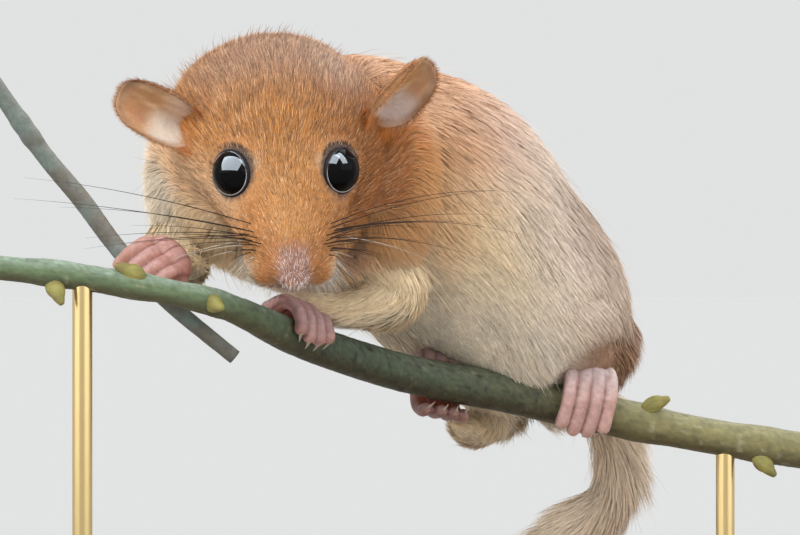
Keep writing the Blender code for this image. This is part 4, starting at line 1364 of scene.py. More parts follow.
class Eyes:
    """The eyeballs, the lids round them and the moist line where they meet.

    A lid is a profile of (angle from the gaze, distance from the eye's middle), carried round it.
    """

    LID = [
        (64.2, 2.36), (64.5, 2.45), (65.1, 2.50), (66.3, 2.54),
        (68.2, 2.56), (70.6, 2.55), (73.4, 2.50), (78.0, 2.34),
    ]
    TEAR = [(63.2, 2.38), (63.5, 2.42), (64.1, 2.455), (64.8, 2.465), (65.3, 2.42)]
    CORNER = math.radians(-28.0)
    # pale low on the tear line as painted reflection, dark at its top as painted shade under the lid
    TEAR_REFLECTION = (0.40, 0.38, 0.40)
    TEAR_SHADE = (0.02, 0.015, 0.015)

    def build(self, materials: Finishes) -> list[Object]:
        """Makes both eyes, and returns their glossy pieces."""
        glossy = []
        for sign, name in ((-1, "eye_right"), (1, "eye_left")):
            look = EYE_LOOKS[sign]
            across = unit(np.cross(HEAD.up, look))
            over = np.cross(look, across)
            ball = ellipsoid(EYE_CENTRES[sign], (across, over, look), (EYE_RADIUS,) * 3, 64, 40)
            glossy.append(ball.piece(f"{name}_ball", materials["eye"], "eye", name))
            self.ring(sign, across, over, self.LID).piece(f"{name}_lid", materials["lid"], "fur")
            line = self.ring(sign, across, over, self.TEAR)
            glossy.append(line.piece(f"{name}_tear", materials["tear"], "eye"))
            # painted reflection and shade: the tear line is pale low down, standing for the light its wet
            # film mirrors, and dark at the top, standing for the lid's shade
            high = (line.points - EYE_CENTRES[sign]) @ over / EYE_RADIUS
            moist = painted(plain(self.TEAR_REFLECTION, line.points), (self.TEAR_SHADE, ease(high, 0.1, 0.75)))
            set_colours(glossy[-1], moist)
        return glossy

    def ring(
        self, sign: int, across: Array, over: Array, profile: list[tuple[float, float]], steps: int = 112
    ) -> Surface:
        """Carries a profile round the eye, egg-shaped, with a small point low at the front corner.

        Args:
            sign: The eye's side.
            across: Direction from which the turn starts.
            over: Direction a quarter turn on.
            profile: Angle from the gaze and distance from the eye's middle.
            steps: Points round the ring.

        Returns:
            An open band whose edges lie in the eyeball and in the skin.
        """
        turn = np.arange(steps) * 2 * math.pi / steps
        angle, distance = np.array(profile).T
        front, high = sign * np.cos(turn), np.sin(turn)
        corner = np.exp(-((front - math.cos(self.CORNER)) ** 2 + (high - math.sin(self.CORNER)) ** 2) / 0.04)
        swing = 1.0 + 0.02 * np.cos(2 * turn) - 0.02 * high + 0.07 * corner
        fall = np.radians(angle)[:, None] * swing[None]
        ring = np.sin(fall)[..., None] * (np.cos(turn)[:, None] * across + np.sin(turn)[:, None] * over)
        ways = ring + np.cos(fall)[..., None] * EYE_LOOKS[sign]
        points = EYE_CENTRES[sign] + distance[:, None, None] * ways
        return Surface(points.reshape(-1, 3), grid_faces(len(profile), steps))


@dataclass
class Ear:
    """A thin rounded cup, seen as two sheets a little apart that meet at the rolled rim."""

    name: str
    sign: int
    root: tuple[float, float, float]
    way: tuple[float, float, float]
    opening: tuple[float, float, float]
    top: float
    length: float = 9.0
    width: float = 5.7
    thickness: float = 0.5
    cup: float = 1.6
    power: float = 2.6
    hollow: Colour = (0.74, 0.62, 0.50)
    rings: int = 24
    steps: int = 96
    DARK_STREAK = (0.38, 0.16, 0.055)
    PALE_STREAK = (0.57, 0.32, 0.16)
    LOBE = (0.58, 0.40, 0.30)
    FOLD = (0.42, 0.15, 0.06)
    # painted shadow under the rolled rim
    RIM_SHADOW = (0.22, 0.10, 0.05)
    OUTSIDE = (0.50, 0.235, 0.09)

    def __post_init__(self) -> None:
        """Turns the ear's own directions into the model's."""
        self.base = EYE_POINT + HEAD.place(self.root[0], self.root[1], self.root[2] * self.sign)
        self.long = unit(HEAD.place(self.way[0], self.way[1], self.way[2] * self.sign))
        toward = HEAD.place(self.opening[0], self.opening[1], self.opening[2] * self.sign)
        self.toward = unit(toward - self.long * np.dot(toward, self.long))
        self.across = np.cross(self.long, self.toward)

    def places(self, radius: Array, angle: Array, face: float) -> Array:
        """Returns places on one sheet.

        The outline is a superellipse, |long|^p + |wide|^p = 1, that leans to its top side. The
        sheet curls forward with the square of the distance from its middle line, its rim rolls
        in, most along the top, it is hollowed low down, and it is crinkled a little.

        Args:
            radius: Share of the way from the middle to the rim.
            angle: Angle round the sheet.
            face: 1 for the front sheet and -1 for the back one.

        Returns:
            Places in the frame.
        """
        cos, sin = np.cos(angle), np.sin(angle)
        edge = (np.abs(cos) ** self.power + np.abs(sin) ** self.power) ** (-1.0 / self.power)
        up = 0.5 + 0.5 * radius * edge * sin
        share = radius * edge * cos
        wide = share * self.width / 2 + 0.35 * (2 * up - 1.0) * self.top
        upper = ease(share * self.top, 0.1, 0.9)
        curl = self.cup * share**2 + 0.9 * up**2 - 0.4 + (0.15 + 0.4 * upper) * ease(radius, 0.84, 1.0)
        curl = curl - 0.8 * np.exp(-((up - 0.26) ** 2) / 0.03 - share**2 / 0.18)
        ripple = np.sin(share * 8.0 + up * 5.0) + 0.7 * np.sin(up * 21.0 + share * 3.0)
        curl = curl + 0.07 * ripple * ease(1.0 - radius, 0.04, 0.4) * ease(up, 0.2, 0.6)
        roll = (0.12 + 0.35 * upper) * ease(radius, 0.86, 1.0)
        wide = wide - roll * np.sign(share) * np.abs(cos)
        thick = self.thickness * (0.3 + 0.7 * np.sqrt(np.maximum(0.0, 1.0 - radius**2))) / 2
        lift = curl + face * thick
        return (self.base + self.long * (up * self.length)[..., None] + self.across * wide[..., None]
                + self.toward * lift[..., None])

    def surface(self) -> Surface:
        """Returns the closed ear: the back sheet from its middle out, then the front one back in."""
        radius = np.linspace(0.0, 1.0, self.rings + 1)[1:] ** 0.8
        turn = np.arange(self.steps) * 2 * math.pi / self.steps
        back = self.places(radius[:, None], turn[None], -1.0)
        front = self.places(radius[::-1, None], turn[None], 1.0)
        middles = np.stack([self.places(np.array(0.0), np.array(0.0), face) for face in (-1.0, 1.0)])
        return capped(np.vstack([back, front]), middles[0], middles[1])

    def shares(self, points: Array) -> tuple[Array, Array, Array]:
        """Returns how far up and towards its top side places lie, and how near the rim (1 on it)."""
        offset = points - self.base
        up = offset @ self.long / self.length
        wide = (offset @ self.across - 0.35 * (2 * up - 1.0) * self.top) / (self.width / 2)
        rim = (np.abs(2 * up - 1.0) ** self.power + np.abs(wide) ** self.power) ** (1.0 / self.power)
        return up, wide * self.top, rim

    def colours(self, points: Array, normals: Array) -> Array:
        """Returns the ear's colours: streaks inside, a pale hollow low down, painted shadow under the rim."""
        up, high, rim = self.shares(points)
        front = ease(normals @ self.toward, -0.2, 0.2)[:, None]
        offset = points - self.base
        streaks = np.column_stack([offset @ self.long * 0.25, offset @ self.across, offset @ self.toward])
        low = ease(-up, -0.66, -0.40) * ease(-high, -0.30, 0.30) * ease(up, 0.04, 0.14)
        # painted shadow: a dark band just inside the rim, strongest along the top, where the rolled rim
        # shades the cup
        shade = ease(rim, 0.72, 0.90) * ease(up, 0.12, 0.35) * blend(0.35, 0.85, ease(high, -0.1, 0.6))
        inside = painted(
            plain(self.DARK_STREAK, points),
            (self.PALE_STREAK, ease(clouds(streaks, 0.45, 21), -0.5, 0.7)),
            (self.LOBE, 0.6 * ease(-up, -0.55, -0.3)),
            (self.FOLD, 0.6 * np.exp(-((up - 0.68) ** 2 + (high + 0.5) ** 2) / 0.05)),
            (self.hollow, 0.95 * low * ease(-rim, -0.95, -0.75)),
            (self.RIM_SHADOW, shade * ease(-rim, -1.0, -0.93)),
            (self.OUTSIDE, ease(rim, 0.94, 0.99)),
        )
        return blend(np.array(self.OUTSIDE), inside, front)

    def build(self, materials: Finishes, coat: Coat) -> None:
        """Makes the ear and its short hairs, which run from the root to the rim and a little past it."""
        surface = self.surface()
        obj = surface.piece(self.name + "_cup", materials["bare"], "fur", self.name)
        set_colours(obj, self.colours(surface.points, surface.normals()))
        up, _, _ = self.shares(surface.points)
        roots, normals = coat.scatter(surface, 75.0 * ease(up, -0.02, 0.10))
        up, high, rim = self.shares(roots)
        front = ease(normals @ self.toward, -0.1, 0.3)
        outward = unit(roots - self.base - self.long * (0.45 * self.length))
        way = blend(self.long, outward, ease(rim, 0.3, 0.95)[:, None])
        length = coat.random.uniform(0.6, 1.1, len(roots)) * (0.75 + 0.25 * (1 - front))
        tip = self.colours(roots, normals) * 1.1
        low = ease(-up, -0.26, -0.10)
        tip = painted(
            tip,
            (Palette.CREAM, 0.35 * ease(rim, 0.92, 1.0) * ease(high, -0.6, 0.2)),
            (Palette.TUFT, 0.85 * low),
        )
        length = length * (1.0 + 1.6 * low)
        spots = np.column_stack([0.25 + 0.2 * high + 0.5 * (front > 0.5), 0.06 + 0.86 * up])
        coat.short_hairs(self.name, roots, normals, way, length, 0.04, 0.34, tip, spots)


class Nose:
    """The nose pad with its nostrils and the short pale hairs over it."""

    SIZE = np.array([1.36, 1.05, 1.2])
    AXES = np.array([HEAD.side, HEAD.up, HEAD.forward])
    SKIN_LOW = (0.20, 0.105, 0.095)
    SKIN_HIGH = (0.24, 0.12, 0.10)
    # painted shade of the nostrils and the furrow
    NOSTRIL_SHADE = (0.03, 0.012, 0.01)
    HAIR_LOW = (0.26, 0.13, 0.11)
    HAIR_HIGH = (0.46, 0.21, 0.11)

    def surface(self) -> Surface:
        """Returns an ellipsoid with a furrow down its middle, and a comma-shaped hollow low on each side."""
        pad = ellipsoid(NOSE_TIP, self.AXES, self.SIZE, 96, 64)
        side, up, forward = (self.AXES @ (pad.points - NOSE_TIP).T)
        furrow = 0.24 * np.exp(-((side / 0.13) ** 2)) * ease(-up, -0.4, 0.4)
        lobes = 0.12 * np.exp(-((np.abs(side) - 0.8) ** 2) / 0.3 - (up + 0.1) ** 2 / 0.4)
        hollow = 0.6 * self.nostril(side, up) * ease(forward, 0.0, 0.5)
        way = unit(np.stack([side, up, forward], axis=1) / self.SIZE**2 @ self.AXES)
        pad.points = pad.points + way * (lobes - furrow - hollow)[:, None]
        return pad

    def colours(self, points: Array) -> Array:
        """Returns mauve skin, pinker low down, with painted shade, nearly black, in the nostrils and the
        furrow.
        """
        side, up, _ = self.AXES @ (points - NOSE_TIP).T
        skin = painted(plain(self.SKIN_LOW, points), (self.SKIN_HIGH, ease(up, -0.6, 0.6)))
        # painted shade: the shallow nostrils and the lower furrow are darkened nearly to black
        dark = 1.3 * self.nostril(side, up) + 0.6 * np.exp(-((side / 0.12) ** 2)) * ease(-up, -0.2, 0.5)
        return painted(skin, (self.NOSTRIL_SHADE, dark))

    @staticmethod
    def nostril(side: Array, up: Array) -> Array:
        """Returns 1 along the nostrils' slits, which climb outwards from low beside the middle."""
        out = np.abs(side) - 0.86
        return np.exp(-((out / 0.40) ** 2) - ((up + 0.12 - 0.7 * out) / 0.18) ** 2)

    def build(self, materials: Finishes, coat: Coat) -> None:
        """Makes the pad and its hairs, which lie down and outwards."""
        surface = self.surface()
        obj = surface.piece("nose_pad", materials["bare"], "bare_skin", "nose")
        set_colours(obj, self.colours(surface.points))
        side, up, forward = self.AXES @ (surface.points - NOSE_TIP).T
        cover = ease(forward, -0.6, 0.0) * ease(up, -0.9, -0.2) * (1.0 - self.nostril(side, up))
        roots, normals = coat.scatter(surface, 75.0 * cover * (1.0 - self.nostril(side, up - 0.3)))
        side, up, _ = self.AXES @ (roots - NOSE_TIP).T
        way = HEAD.side * (0.15 * side)[:, None] - np.array([0.0, 0.0, 1.0])
        length = coat.random.uniform(0.5, 1.0, len(roots)) * (0.45 + 0.55 * ease(up, -0.4, 0.5))
        pale = coat.random.random(len(roots)) < 0.62 - 0.25 * ease(up, 0.2, 0.9)
        brown = painted(plain(self.HAIR_LOW, roots), (self.HAIR_HIGH, ease(up, -0.2, 0.8)))
        tip = np.where(pale[:, None], np.array(Palette.BRIDGE_HAIR), brown)
        spots = np.column_stack([0.5 + side / 5.0, 0.5 + up / 4.0])
        coat.short_hairs("nose", roots, normals, way, length, 0.065, 0.35, tip, spots)


@dataclass
class Foot:
    """A foot that wraps round its perch: a sole, and toes that bend round the wood and end in claws."""

    name: str
    perch: list[tuple[float, ...]]
    at: float
    start: tuple[float, float, float]
    over: tuple[float, float, float]
    arc: list[tuple[float, float]]
    toe_ends: tuple[float, ...]
    pitch: float
    toe_radius: float
    sole_way: tuple[float, float]
    sole_distance: float
    sole_radii: tuple[float, float, float]
    # colour of the whole foot; for the right hind foot it is mostly painted shade
    tint: Colour = (1.0, 1.0, 1.0)
    instep: float = 0.0
    VOXEL = 0.14

    def __post_init__(self) -> None:
        """Finds the place on the perch, its direction, and the two directions that toes turn through."""
        path = smooth_rows(self.perch, 201)
        index = int(np.argmin(np.abs(path[:, 0] - self.at)))
        self.base = path[index, :3] + EYE_POINT
        self.along = unit(path[min(index + 2, 200), :3] - path[max(index - 2, 0), :3])
        first = np.asarray(self.start, float)
        self.first = unit(first - self.along * np.dot(first, self.along))
        second = np.cross(self.first, self.along)
        self.second = second * np.sign(np.dot(second, self.over))

    def toes(self) -> list[Array]:
        """Returns each toe's line: angle and distance round the perch, read finely, with its radius.

        The radius falls towards the tip and swells at two joints and at the toe's pad.
        """
        lines = []
        count = len(self.toe_ends)
        share = np.linspace(0.0, 1.0, 36)
        for number, end in enumerate(self.toe_ends):
            middle = self.base + self.along * (number - (count - 1) / 2) * self.pitch
            stations = [s for s in self.arc if s[0] < end - 8] + [(end, self.arc[-1][1])]
            angle, distance = np.array(stations).T
            turned = np.radians(angle)[:, None]
            places = middle + distance[:, None] * (np.cos(turned) * self.first + np.sin(turned) * self.second)
            rows = smooth_rows(np.column_stack([places, np.full(len(places), self.toe_radius)]), 36)
            first_joint = 0.07 * np.exp(-((share - 0.44) / 0.07) ** 2)
            joints = first_joint + 0.07 * np.exp(-((share - 0.72) / 0.06) ** 2)
            rows[:, 3] *= 1.12 - 0.24 * share + joints + 0.12 * np.exp(-((share - 0.96) / 0.06) ** 2)
            lines.append(rows)
        return lines

    def claws(self) -> Surface:
        """Returns the small hooked claws as closed tapered tubes that sink into the toes."""
        whole = Surface(np.zeros((0, 3)))
        s = np.linspace(0.0, 1.0, 9)[:, None]
        for rows in self.toes():
            tip, radius = rows[-1, :3], self.toe_radius
            ahead = unit(rows[-1, :3] - rows[-4, :3])
            inward = unit(self.base - tip)
            path = tip + ahead * radius * (0.2 + 1.4 * s) + inward * radius * 0.75 * s**2
            size = radius * (0.34 - 0.28 * s ** 1.3)
            whole = whole + loft(np.hstack([path, size]), 12, self.along, (0.3, 0.8), dome_rings=2)
        return whole

    def surface(self) -> Surface:
        """Returns sole, toes and the webs between them welded by a fine voxel remesh."""
        back = unit(self.first * self.sole_way[0] + self.second * self.sole_way[1])
        axes = (self.along, back, np.cross(self.along, back))
        whole = ellipsoid(self.base + back * self.sole_distance, axes, self.sole_radii, 36, 22)
        if self.instep:
            over = self.base + self.first * self.instep + self.second * 0.5
            whole = whole + ellipsoid(over, (self.along, self.first, self.second), (3.0, 1.3, 1.7), 36, 22)
        for rows in self.toes():
            web = rows[:14].copy()
            web[:, 3] *= 1.34 - 0.26 * np.linspace(0.0, 1.0, 14)
            whole = whole + loft(rows, 20, self.along) + loft(web, 20, self.along)
        return welded(whole, self.VOXEL, 5)

    def colours(self, points: Array, normals: Array) -> Array:
        """Returns pink skin: mauve on top, brown painted shade between the toes, pale on an instep, with
        painted shade in creases.
        """
        offset = points - self.base
        number = offset @ self.along / self.pitch + (len(self.toe_ends) - 1) / 2
        off_toe = np.abs(number - np.round(number)) * 2
        angle = np.arctan2(offset @ self.second, offset @ self.first)
        skin = np.tile(np.array(Palette.PINK), (len(points), 1))
        skin = painted(
            skin,
            (Palette.MAUVE, 0.75 * ease(normals[:, 2], -0.1, 0.7)),
            (Palette.BLOTCH, 0.4 * ease(clouds(points, 1.4, 33), 0.0, 0.7)),
            # painted shade: brown in the gaps between the toes
            (Palette.SHADE_BETWEEN_TOES, 0.7 * ease(off_toe, 0.7, 1.0)),
        )
        if self.instep:
            skin = painted(skin, (Palette.INSTEP, 0.7 * ease(-angle, -1.0, 0.1)))
        # painted shade in fine creases running round the toes
        crease_shade = np.sin(angle * 17.0 + 1.2 * clouds(points, 0.8, 35)) ** 8
        skin = skin * (1.0 - 0.08 * crease_shade + 0.14 * clouds(points, 0.4, 31))[:, None]
        return skin * np.array(self.tint)

    def build(self, materials: Finishes, coat: Coat) -> None:
        """Makes the foot, its claws and the fine pale hairs on its back."""
        surface = self.surface()
        normals = surface.normals()
        obj = surface.piece(self.name + "_flesh", materials["bare"], "bare_skin", self.name)
        set_colours(obj, self.colours(surface.points, normals))
        self.claws().piece(self.name + "_claws", materials["claw"], "bare_skin")
        offset = surface.points - self.base
        away = unit(offset - self.along * dot(offset, self.along))
        roots, normals = coat.scatter(surface, 15.0 * ease((normals * away).sum(1), 0.2, 0.7))
        offset = roots - self.base
        way = np.cross(self.along, unit(offset - self.along * dot(offset, self.along)))
        way = way * np.sign(np.cross(self.along, self.first) @ self.second)
        length = coat.random.uniform(0.4, 0.8, len(roots))
        tip = plain(Palette.CREAM, roots) * coat.random.normal(0.9, 0.15, (len(roots), 1))
        angle = np.arctan2(offset @ self.second, offset @ self.first)
        spots = np.column_stack([0.5 + angle / (2 * math.pi + 0.1), 0.5 + (offset @ self.along) / 12.0])
        coat.short_hairs(self.name, roots, normals, way, length, 0.03, 0.3, tip, spots)


FEET = [
    Foot("forepaw_right", TWIG_ROWS, -14.4, (1.0, 0.2, 0.4), (0.0, -1.0, 0.0),
         [(-5, 2.7), (30, 2.5), (65, 2.1), (105, 1.85), (150, 1.8)], (138, 150, 150, 136), 1.45, 0.7,
         (1.0, -0.1), 3.1, (3.0, 2.1, 1.9), tint=(0.85, 0.68, 0.62)),
    Foot("forepaw_left", BRANCH_ROWS, 0.6, (0.0, 0.2, 1.0), (0.0, -1.0, 0.0),
         [(-38, 3.2), (0, 3.25), (35, 2.95), (70, 2.75), (100, 2.7)], (92, 102, 100, 88), 1.4, 0.7,
         (1.0, -0.9), 3.4, (2.8, 1.4, 2.4), tint=(0.7, 0.6, 0.6)),
    Foot("hindfoot_left", BRANCH_ROWS, 30.5, (0.0, 0.0, 1.0), (0.0, -1.0, 0.0),
         [(-45, 4.2), (-5, 4.3), (35, 3.8), (75, 3.15), (115, 3.0), (140, 3.0)],
         (128, 142, 138, 120), 1.52, 0.74,
         (1.0, -0.75), 4.4, (3.0, 1.7, 3.4), tint=(0.88, 0.88, 0.88), instep=3.7),
    # painted shade: the right hind foot's tint darkens it to about a third, as it lies under the branch away
    # from the light
    Foot("hindfoot_right", BRANCH_ROWS, 16.6, (0.0, 0.6, 0.8), (0.0, 0.5, -1.0),
         [(10, 3.3), (50, 3.7), (90, 4.0), (120, 3.7), (150, 3.1)], (140, 152, 150, 138), 1.45, 0.7,
         (0.45, 1.0), 4.4, (2.6, 1.6, 3.0), tint=(0.36, 0.32, 0.30)),
]


class Whiskers:
    """The long dark feelers of the muzzle, and the short white curved hairs of the lips below them."""

    ROWS = (
        # share of the muzzle's half height, climb, bend, longest
        (0.52, 0.34, -0.10, 28.0),
        (0.38, 0.20, -0.10, 25.0),
        (0.22, 0.06, -0.08, 20.0),
        (0.04, -0.10, -0.14, 10.0),
    )
    COLUMNS = (7.6, 7.1, 6.6, 6.0, 5.4)
    LIP_HAIRS = 240

    def __init__(self, random: np.random.Generator) -> None:
        """Takes a seeded random source."""
        self.random = random

    @staticmethod
    def on_muzzle(forward: Array, share: Array, sign: Array) -> Array:
        """Returns the place on the muzzle's side at a distance forward and a height, just under the fur.

        The height is a share of the muzzle's half height there, from its middle.
        """
        at = np.array(HEAD_PROFILE).T
        top, bottom, half = (np.interp(forward, at[0], row) for row in at[1:])
        up = (top + bottom) / 2 + share * (top - bottom) / 2
        return EYE_POINT + HEAD.place(forward, up, sign * (half * np.sqrt(1.0 - share**2) - 0.5))

    def feelers(self) -> tuple[Array, Array, Array]:
        """Returns the feelers' lines, radii and colours.

        A feeler leaves its root sideways, climbs by its row's slope, and bends with the square
        of the share s along it.
        """
        random = self.random
        rows = np.array(self.ROWS)
        grid = np.meshgrid(range(4), range(5), (-1.0, 1.0), indexing="ij")
        row, column, sign = (part.ravel() for part in grid)
        row, column = row.astype(int), column.astype(int)
        count = len(row)
        share, climb, bend, longest = rows[row].T
        root = self.on_muzzle(np.array(self.COLUMNS)[column] + random.normal(0, 0.12, count),
                              share + random.normal(0, 0.03, count), sign)
        back = column / 4.0
        length = longest * (0.16 + 0.84 * back**1.3) * random.uniform(0.75, 1.05, count)
        way = HEAD.side * sign[:, None] + np.column_stack([
            np.zeros(count),
            -0.45 + 0.6 * back + random.normal(0, 0.08, count),
            climb + random.normal(0, 0.07, count),
        ])
        bend = bend - 0.05 * (1.0 + sign) + random.normal(0, 0.03, count)
        curve = np.column_stack([np.zeros(count), np.full(count, 0.15), bend])
        s = np.linspace(0.0, 1.0, 18)[None, :, None]
        length = length[:, None, None]
        paths = root[:, None] + unit(way)[:, None] * length * s + curve[:, None] * length * s**2
        radii = 0.055 * (1.0 - 0.9 * s[..., 0]) * np.ones((count, 1))
        dark = (row < 3) | (random.random(count) < 0.3)
        return paths, radii, np.where(dark[:, None], (0.030, 0.018, 0.014), (0.50, 0.44, 0.37))

    def lip_hairs(self) -> tuple[Array, Array, Array]:
        """Returns the white hairs that fan down and out from the lower edge of the muzzle."""
        random, count = self.random, self.LIP_HAIRS
        sign = random.choice([-1.0, 1.0], count)
        back = random.random(count)
        root = self.on_muzzle(9.0 - 4.6 * back, -0.55 - 0.4 * random.random(count), sign)
        way = HEAD.side * (sign * (0.25 + 1.0 * back))[:, None]
        fall = np.array([0.0, 0.0, -1.0]) * random.uniform(0.3, 0.7, (count, 1))
        way = way + np.array([0.0, -0.25, 0.0]) + fall
        length = (random.uniform(1.4, 4.0, count) * (0.6 + 0.5 * back))[:, None, None]
        s = np.linspace(0.0, 1.0, 12)[None, :, None]
        bend = np.array([0.0, 0.10, -0.38])
        paths = root[:, None] + unit(way)[:, None] * length * s + bend * length * s**2
        radii = 0.027 * (1.0 - 0.88 * s[..., 0] ** 1.2) * np.ones((count, 1))
        return paths, radii, np.array((0.76, 0.72, 0.64)) * random.uniform(0.8, 1.05, (count, 1))

    def build(self, materials: Finishes) -> None:
        """Makes the feelers and the hairs of the lips."""
        for name, (paths, radii, colours) in (("whiskers", self.feelers()), ("lip_hairs", self.lip_hairs())):
            surface = tubes(paths, radii, 4)
            obj = surface.piece(name, materials["whisker"], "fur")
            set_colours(obj, np.repeat(colours, paths.shape[1] * 4, axis=0))


class Perch:
    """The cut length of branch with its buds, and the thin twig that crosses behind it."""

    CUT_WOOD = (0.55, 0.44, 0.26)
    BUD_GREEN = (0.22, 0.20, 0.05)
    BUD_BROWN = (0.20, 0.11, 0.04)
    TWIG_BLOOM = (0.36, 0.34, 0.30)
    BUDS = [
        (-22.8, -6.2, -11.2),
        (-14.6, -5.2, -10.2),
        (-7.4, -3.2, -13.0),
        (37.8, 24.4, -24.3),
        (49.6, 25.4, -30.0),
    ]
    BUD_WAYS = [(0.4, -0.4, -0.8), (-0.9, -0.1, 0.4), (0.5, -0.8, -0.2), (0.9, -0.1, 0.4), (0.7, -0.1, -0.7)]

    def stem(
        self, rows: list[tuple[float, ...]], rings: int, sides: int, swell: list[Array], rough: float
    ) -> Surface:
        """Returns a stem whose radius is varied by knots, long ridges and fine noise.

        Args:
            rows: The middle line and radius.
            rings: Sections along it.
            sides: Points round it.
            swell: Places near which it is thicker.
            rough: Depth of the bark's relief in millimetres.

        Returns:
            A closed surface with flat ends.
        """
        fine = smooth_rows(rows, rings)
        fine[:, :3] += EYE_POINT
        for place in swell:
            gap = np.linalg.norm(fine[:, :3] - place, axis=1)
            fine[:, 3] += 0.14 * np.exp(-((gap - fine[:, 3]) / 1.0) ** 2)
        stem = loft(fine, sides, domes=(0.0, 0.0), dome_rings=0)
        body = stem.points[:-2]
        centre = np.repeat(fine[:, :3], sides, axis=0)
        outward = unit(body - centre)
        broad, fine_noise = clouds(body, 2.2, 51), clouds(body, 0.28, 53)
        ridges = clouds(body * (0.35, 1.0, 1.0), 0.5, 52)
        relief = rough * (0.35 * broad + 0.4 * ridges + 0.5 * fine_noise)
        stem.points[:-2] = body + outward * relief[:, None]
        return stem

    def bud(self, place: Array, way: Array) -> Surface:
        """Returns an egg-shaped bud of three lapping scales, pressed to the stem."""
        start = place - way * 0.7
        side = unit(np.cross(way, (0.1, 1.0, 0.2)))
        whole = None
        for number, (lift, size, long) in enumerate(((0.0, 1.0, 2.9), (0.28, 0.93, 2.6), (-0.25, 0.9, 2.2))):
            s = np.linspace(0.0, 1.0, 14)
            radius = size * 0.74 * np.sin(np.pi * (0.18 + 0.70 * s)) ** 0.8
            path = start + way * (s * long)[:, None] + side * (lift * np.sin(np.pi * s))[:, None]
            made = loft(np.column_stack([path, radius]), 18, (0.1, 1.0, 0.2), (0.3, 0.6), dome_rings=3)
            whole = made if whole is None else whole + made
        return whole

    @staticmethod
    def branch_colours(points: Array, normals: Array) -> Array:
        """Returns green bark with a pale bloom on top at the left, turning tan and olive to the right."""
        x = points[:, 0] - EYE_POINT[0]
        green = np.array((0.122, 0.180, 0.082))
        tan = np.array((0.215, 0.190, 0.072))
        bark = blend(green, tan, ease(x, 8.0, 40.0)[:, None])
        # painted shade: the bark turns deep olive on its underside
        bark = blend(bark, np.array((0.085, 0.070, 0.028)), (0.8 * ease(-normals[:, 2], -0.1, 0.8))[:, None])
        top = ease(normals[:, 2], 0.05, 0.9)
        bloom = blend(np.array((0.46, 0.58, 0.50)), np.array((0.33, 0.33, 0.19)), ease(x, 0.0, 35.0)[:, None])
        patchy = 0.66 + 0.10 * clouds(points, 2.2, 61) + 0.45 * clouds(points, 0.24, 62)
        bark = blend(bark, bloom, np.clip(0.62 * top * patchy, 0, 1)[:, None])
        spots = ease(clouds(points * (0.5, 1.0, 1.0), 0.42, 63), 0.45, 0.75)
        spots = spots * ease(clouds(points, 3.0, 64), -0.3, 0.3)
        bark = blend(bark, np.array((0.45, 0.40, 0.26)), (0.45 * spots)[:, None])
        dark = ease(clouds(points * (0.5, 1.0, 1.0), 0.4, 65), 0.2, 0.8)
        # painted shadow of the body: the bark is darkened where it runs under the animal
        shaded = ease(x, -8.0, 4.0) * ease(-x, -36.0, -24.0)
        return bark * (0.85 - 0.50 * shaded - 0.22 * dark + 0.16 * clouds(points, 0.2, 66))[:, None]

    @staticmethod
    def cut_faces(surface: Surface, colours: Array, ends: tuple[Array, Array], radius: float) -> Array:
        """Returns the colours with the middles of the two cut ends in pale wood."""
        for end in ends:
            gap = np.linalg.norm(surface.points - end, axis=1)
            colours = painted(colours, (Perch.CUT_WOOD, ease(-gap, -radius * 0.8, -radius * 0.3)))
        return colours

    def build(self, materials: Finishes) -> None:
        """Makes the branch, its buds and the twig."""
        places = [np.array(p) + EYE_POINT for p in self.BUDS]
        branch = self.stem(BRANCH_ROWS, 330, 44, places, 0.055)
        rows = np.array(BRANCH_ROWS)
        ends = (rows[0, :3] + EYE_POINT, rows[-1, :3] + EYE_POINT)
        colours = self.cut_faces(branch, self.branch_colours(branch.points, branch.normals()), ends, 2.0)
        obj = branch.piece("branch", materials["bark"], "bark", "perch_branch")
        set_colours(obj, colours)
        buds = None
        for place, way in zip(places, self.BUD_WAYS):
            made = self.bud(place, unit(np.array(way)))
            buds = made if buds is None else buds + made
        obj = buds.piece("buds", materials["bark"], "bark")
        tone = 1.0 + 0.22 * clouds(buds.points, 1.0, 71)
        flecks = 0.3 * ease(clouds(buds.points, 0.8, 72), 0.1, 0.8)
        base = painted(plain(self.BUD_GREEN, buds.points), (self.BUD_BROWN, flecks))
        set_colours(obj, base * tone[:, None])
        knots = [np.array((-26.6, 7.0, 4.6)) + EYE_POINT, np.array((-15.4, 1.4, -9.4)) + EYE_POINT]
        twig = self.stem(TWIG_ROWS, 150, 26, knots, 0.03)
        grey = np.array((0.115, 0.145, 0.125))
        brown = np.array((0.105, 0.095, 0.075))
        tone = blend(grey, brown, ease(clouds(twig.points, 2.0, 81), -0.4, 0.6)[:, None])
        tone = painted(tone, (self.TWIG_BLOOM, 0.45 * ease(twig.normals()[:, 2], 0.2, 1.0)))
        rows = np.array(TWIG_ROWS)
        tone = self.cut_faces(twig, tone, (rows[0, :3] + EYE_POINT, rows[-1, :3] + EYE_POINT), 0.8)
        obj = twig.piece("twig", materials["twig"], "twig_bark", "perch_twig")
        set_colours(obj, tone)


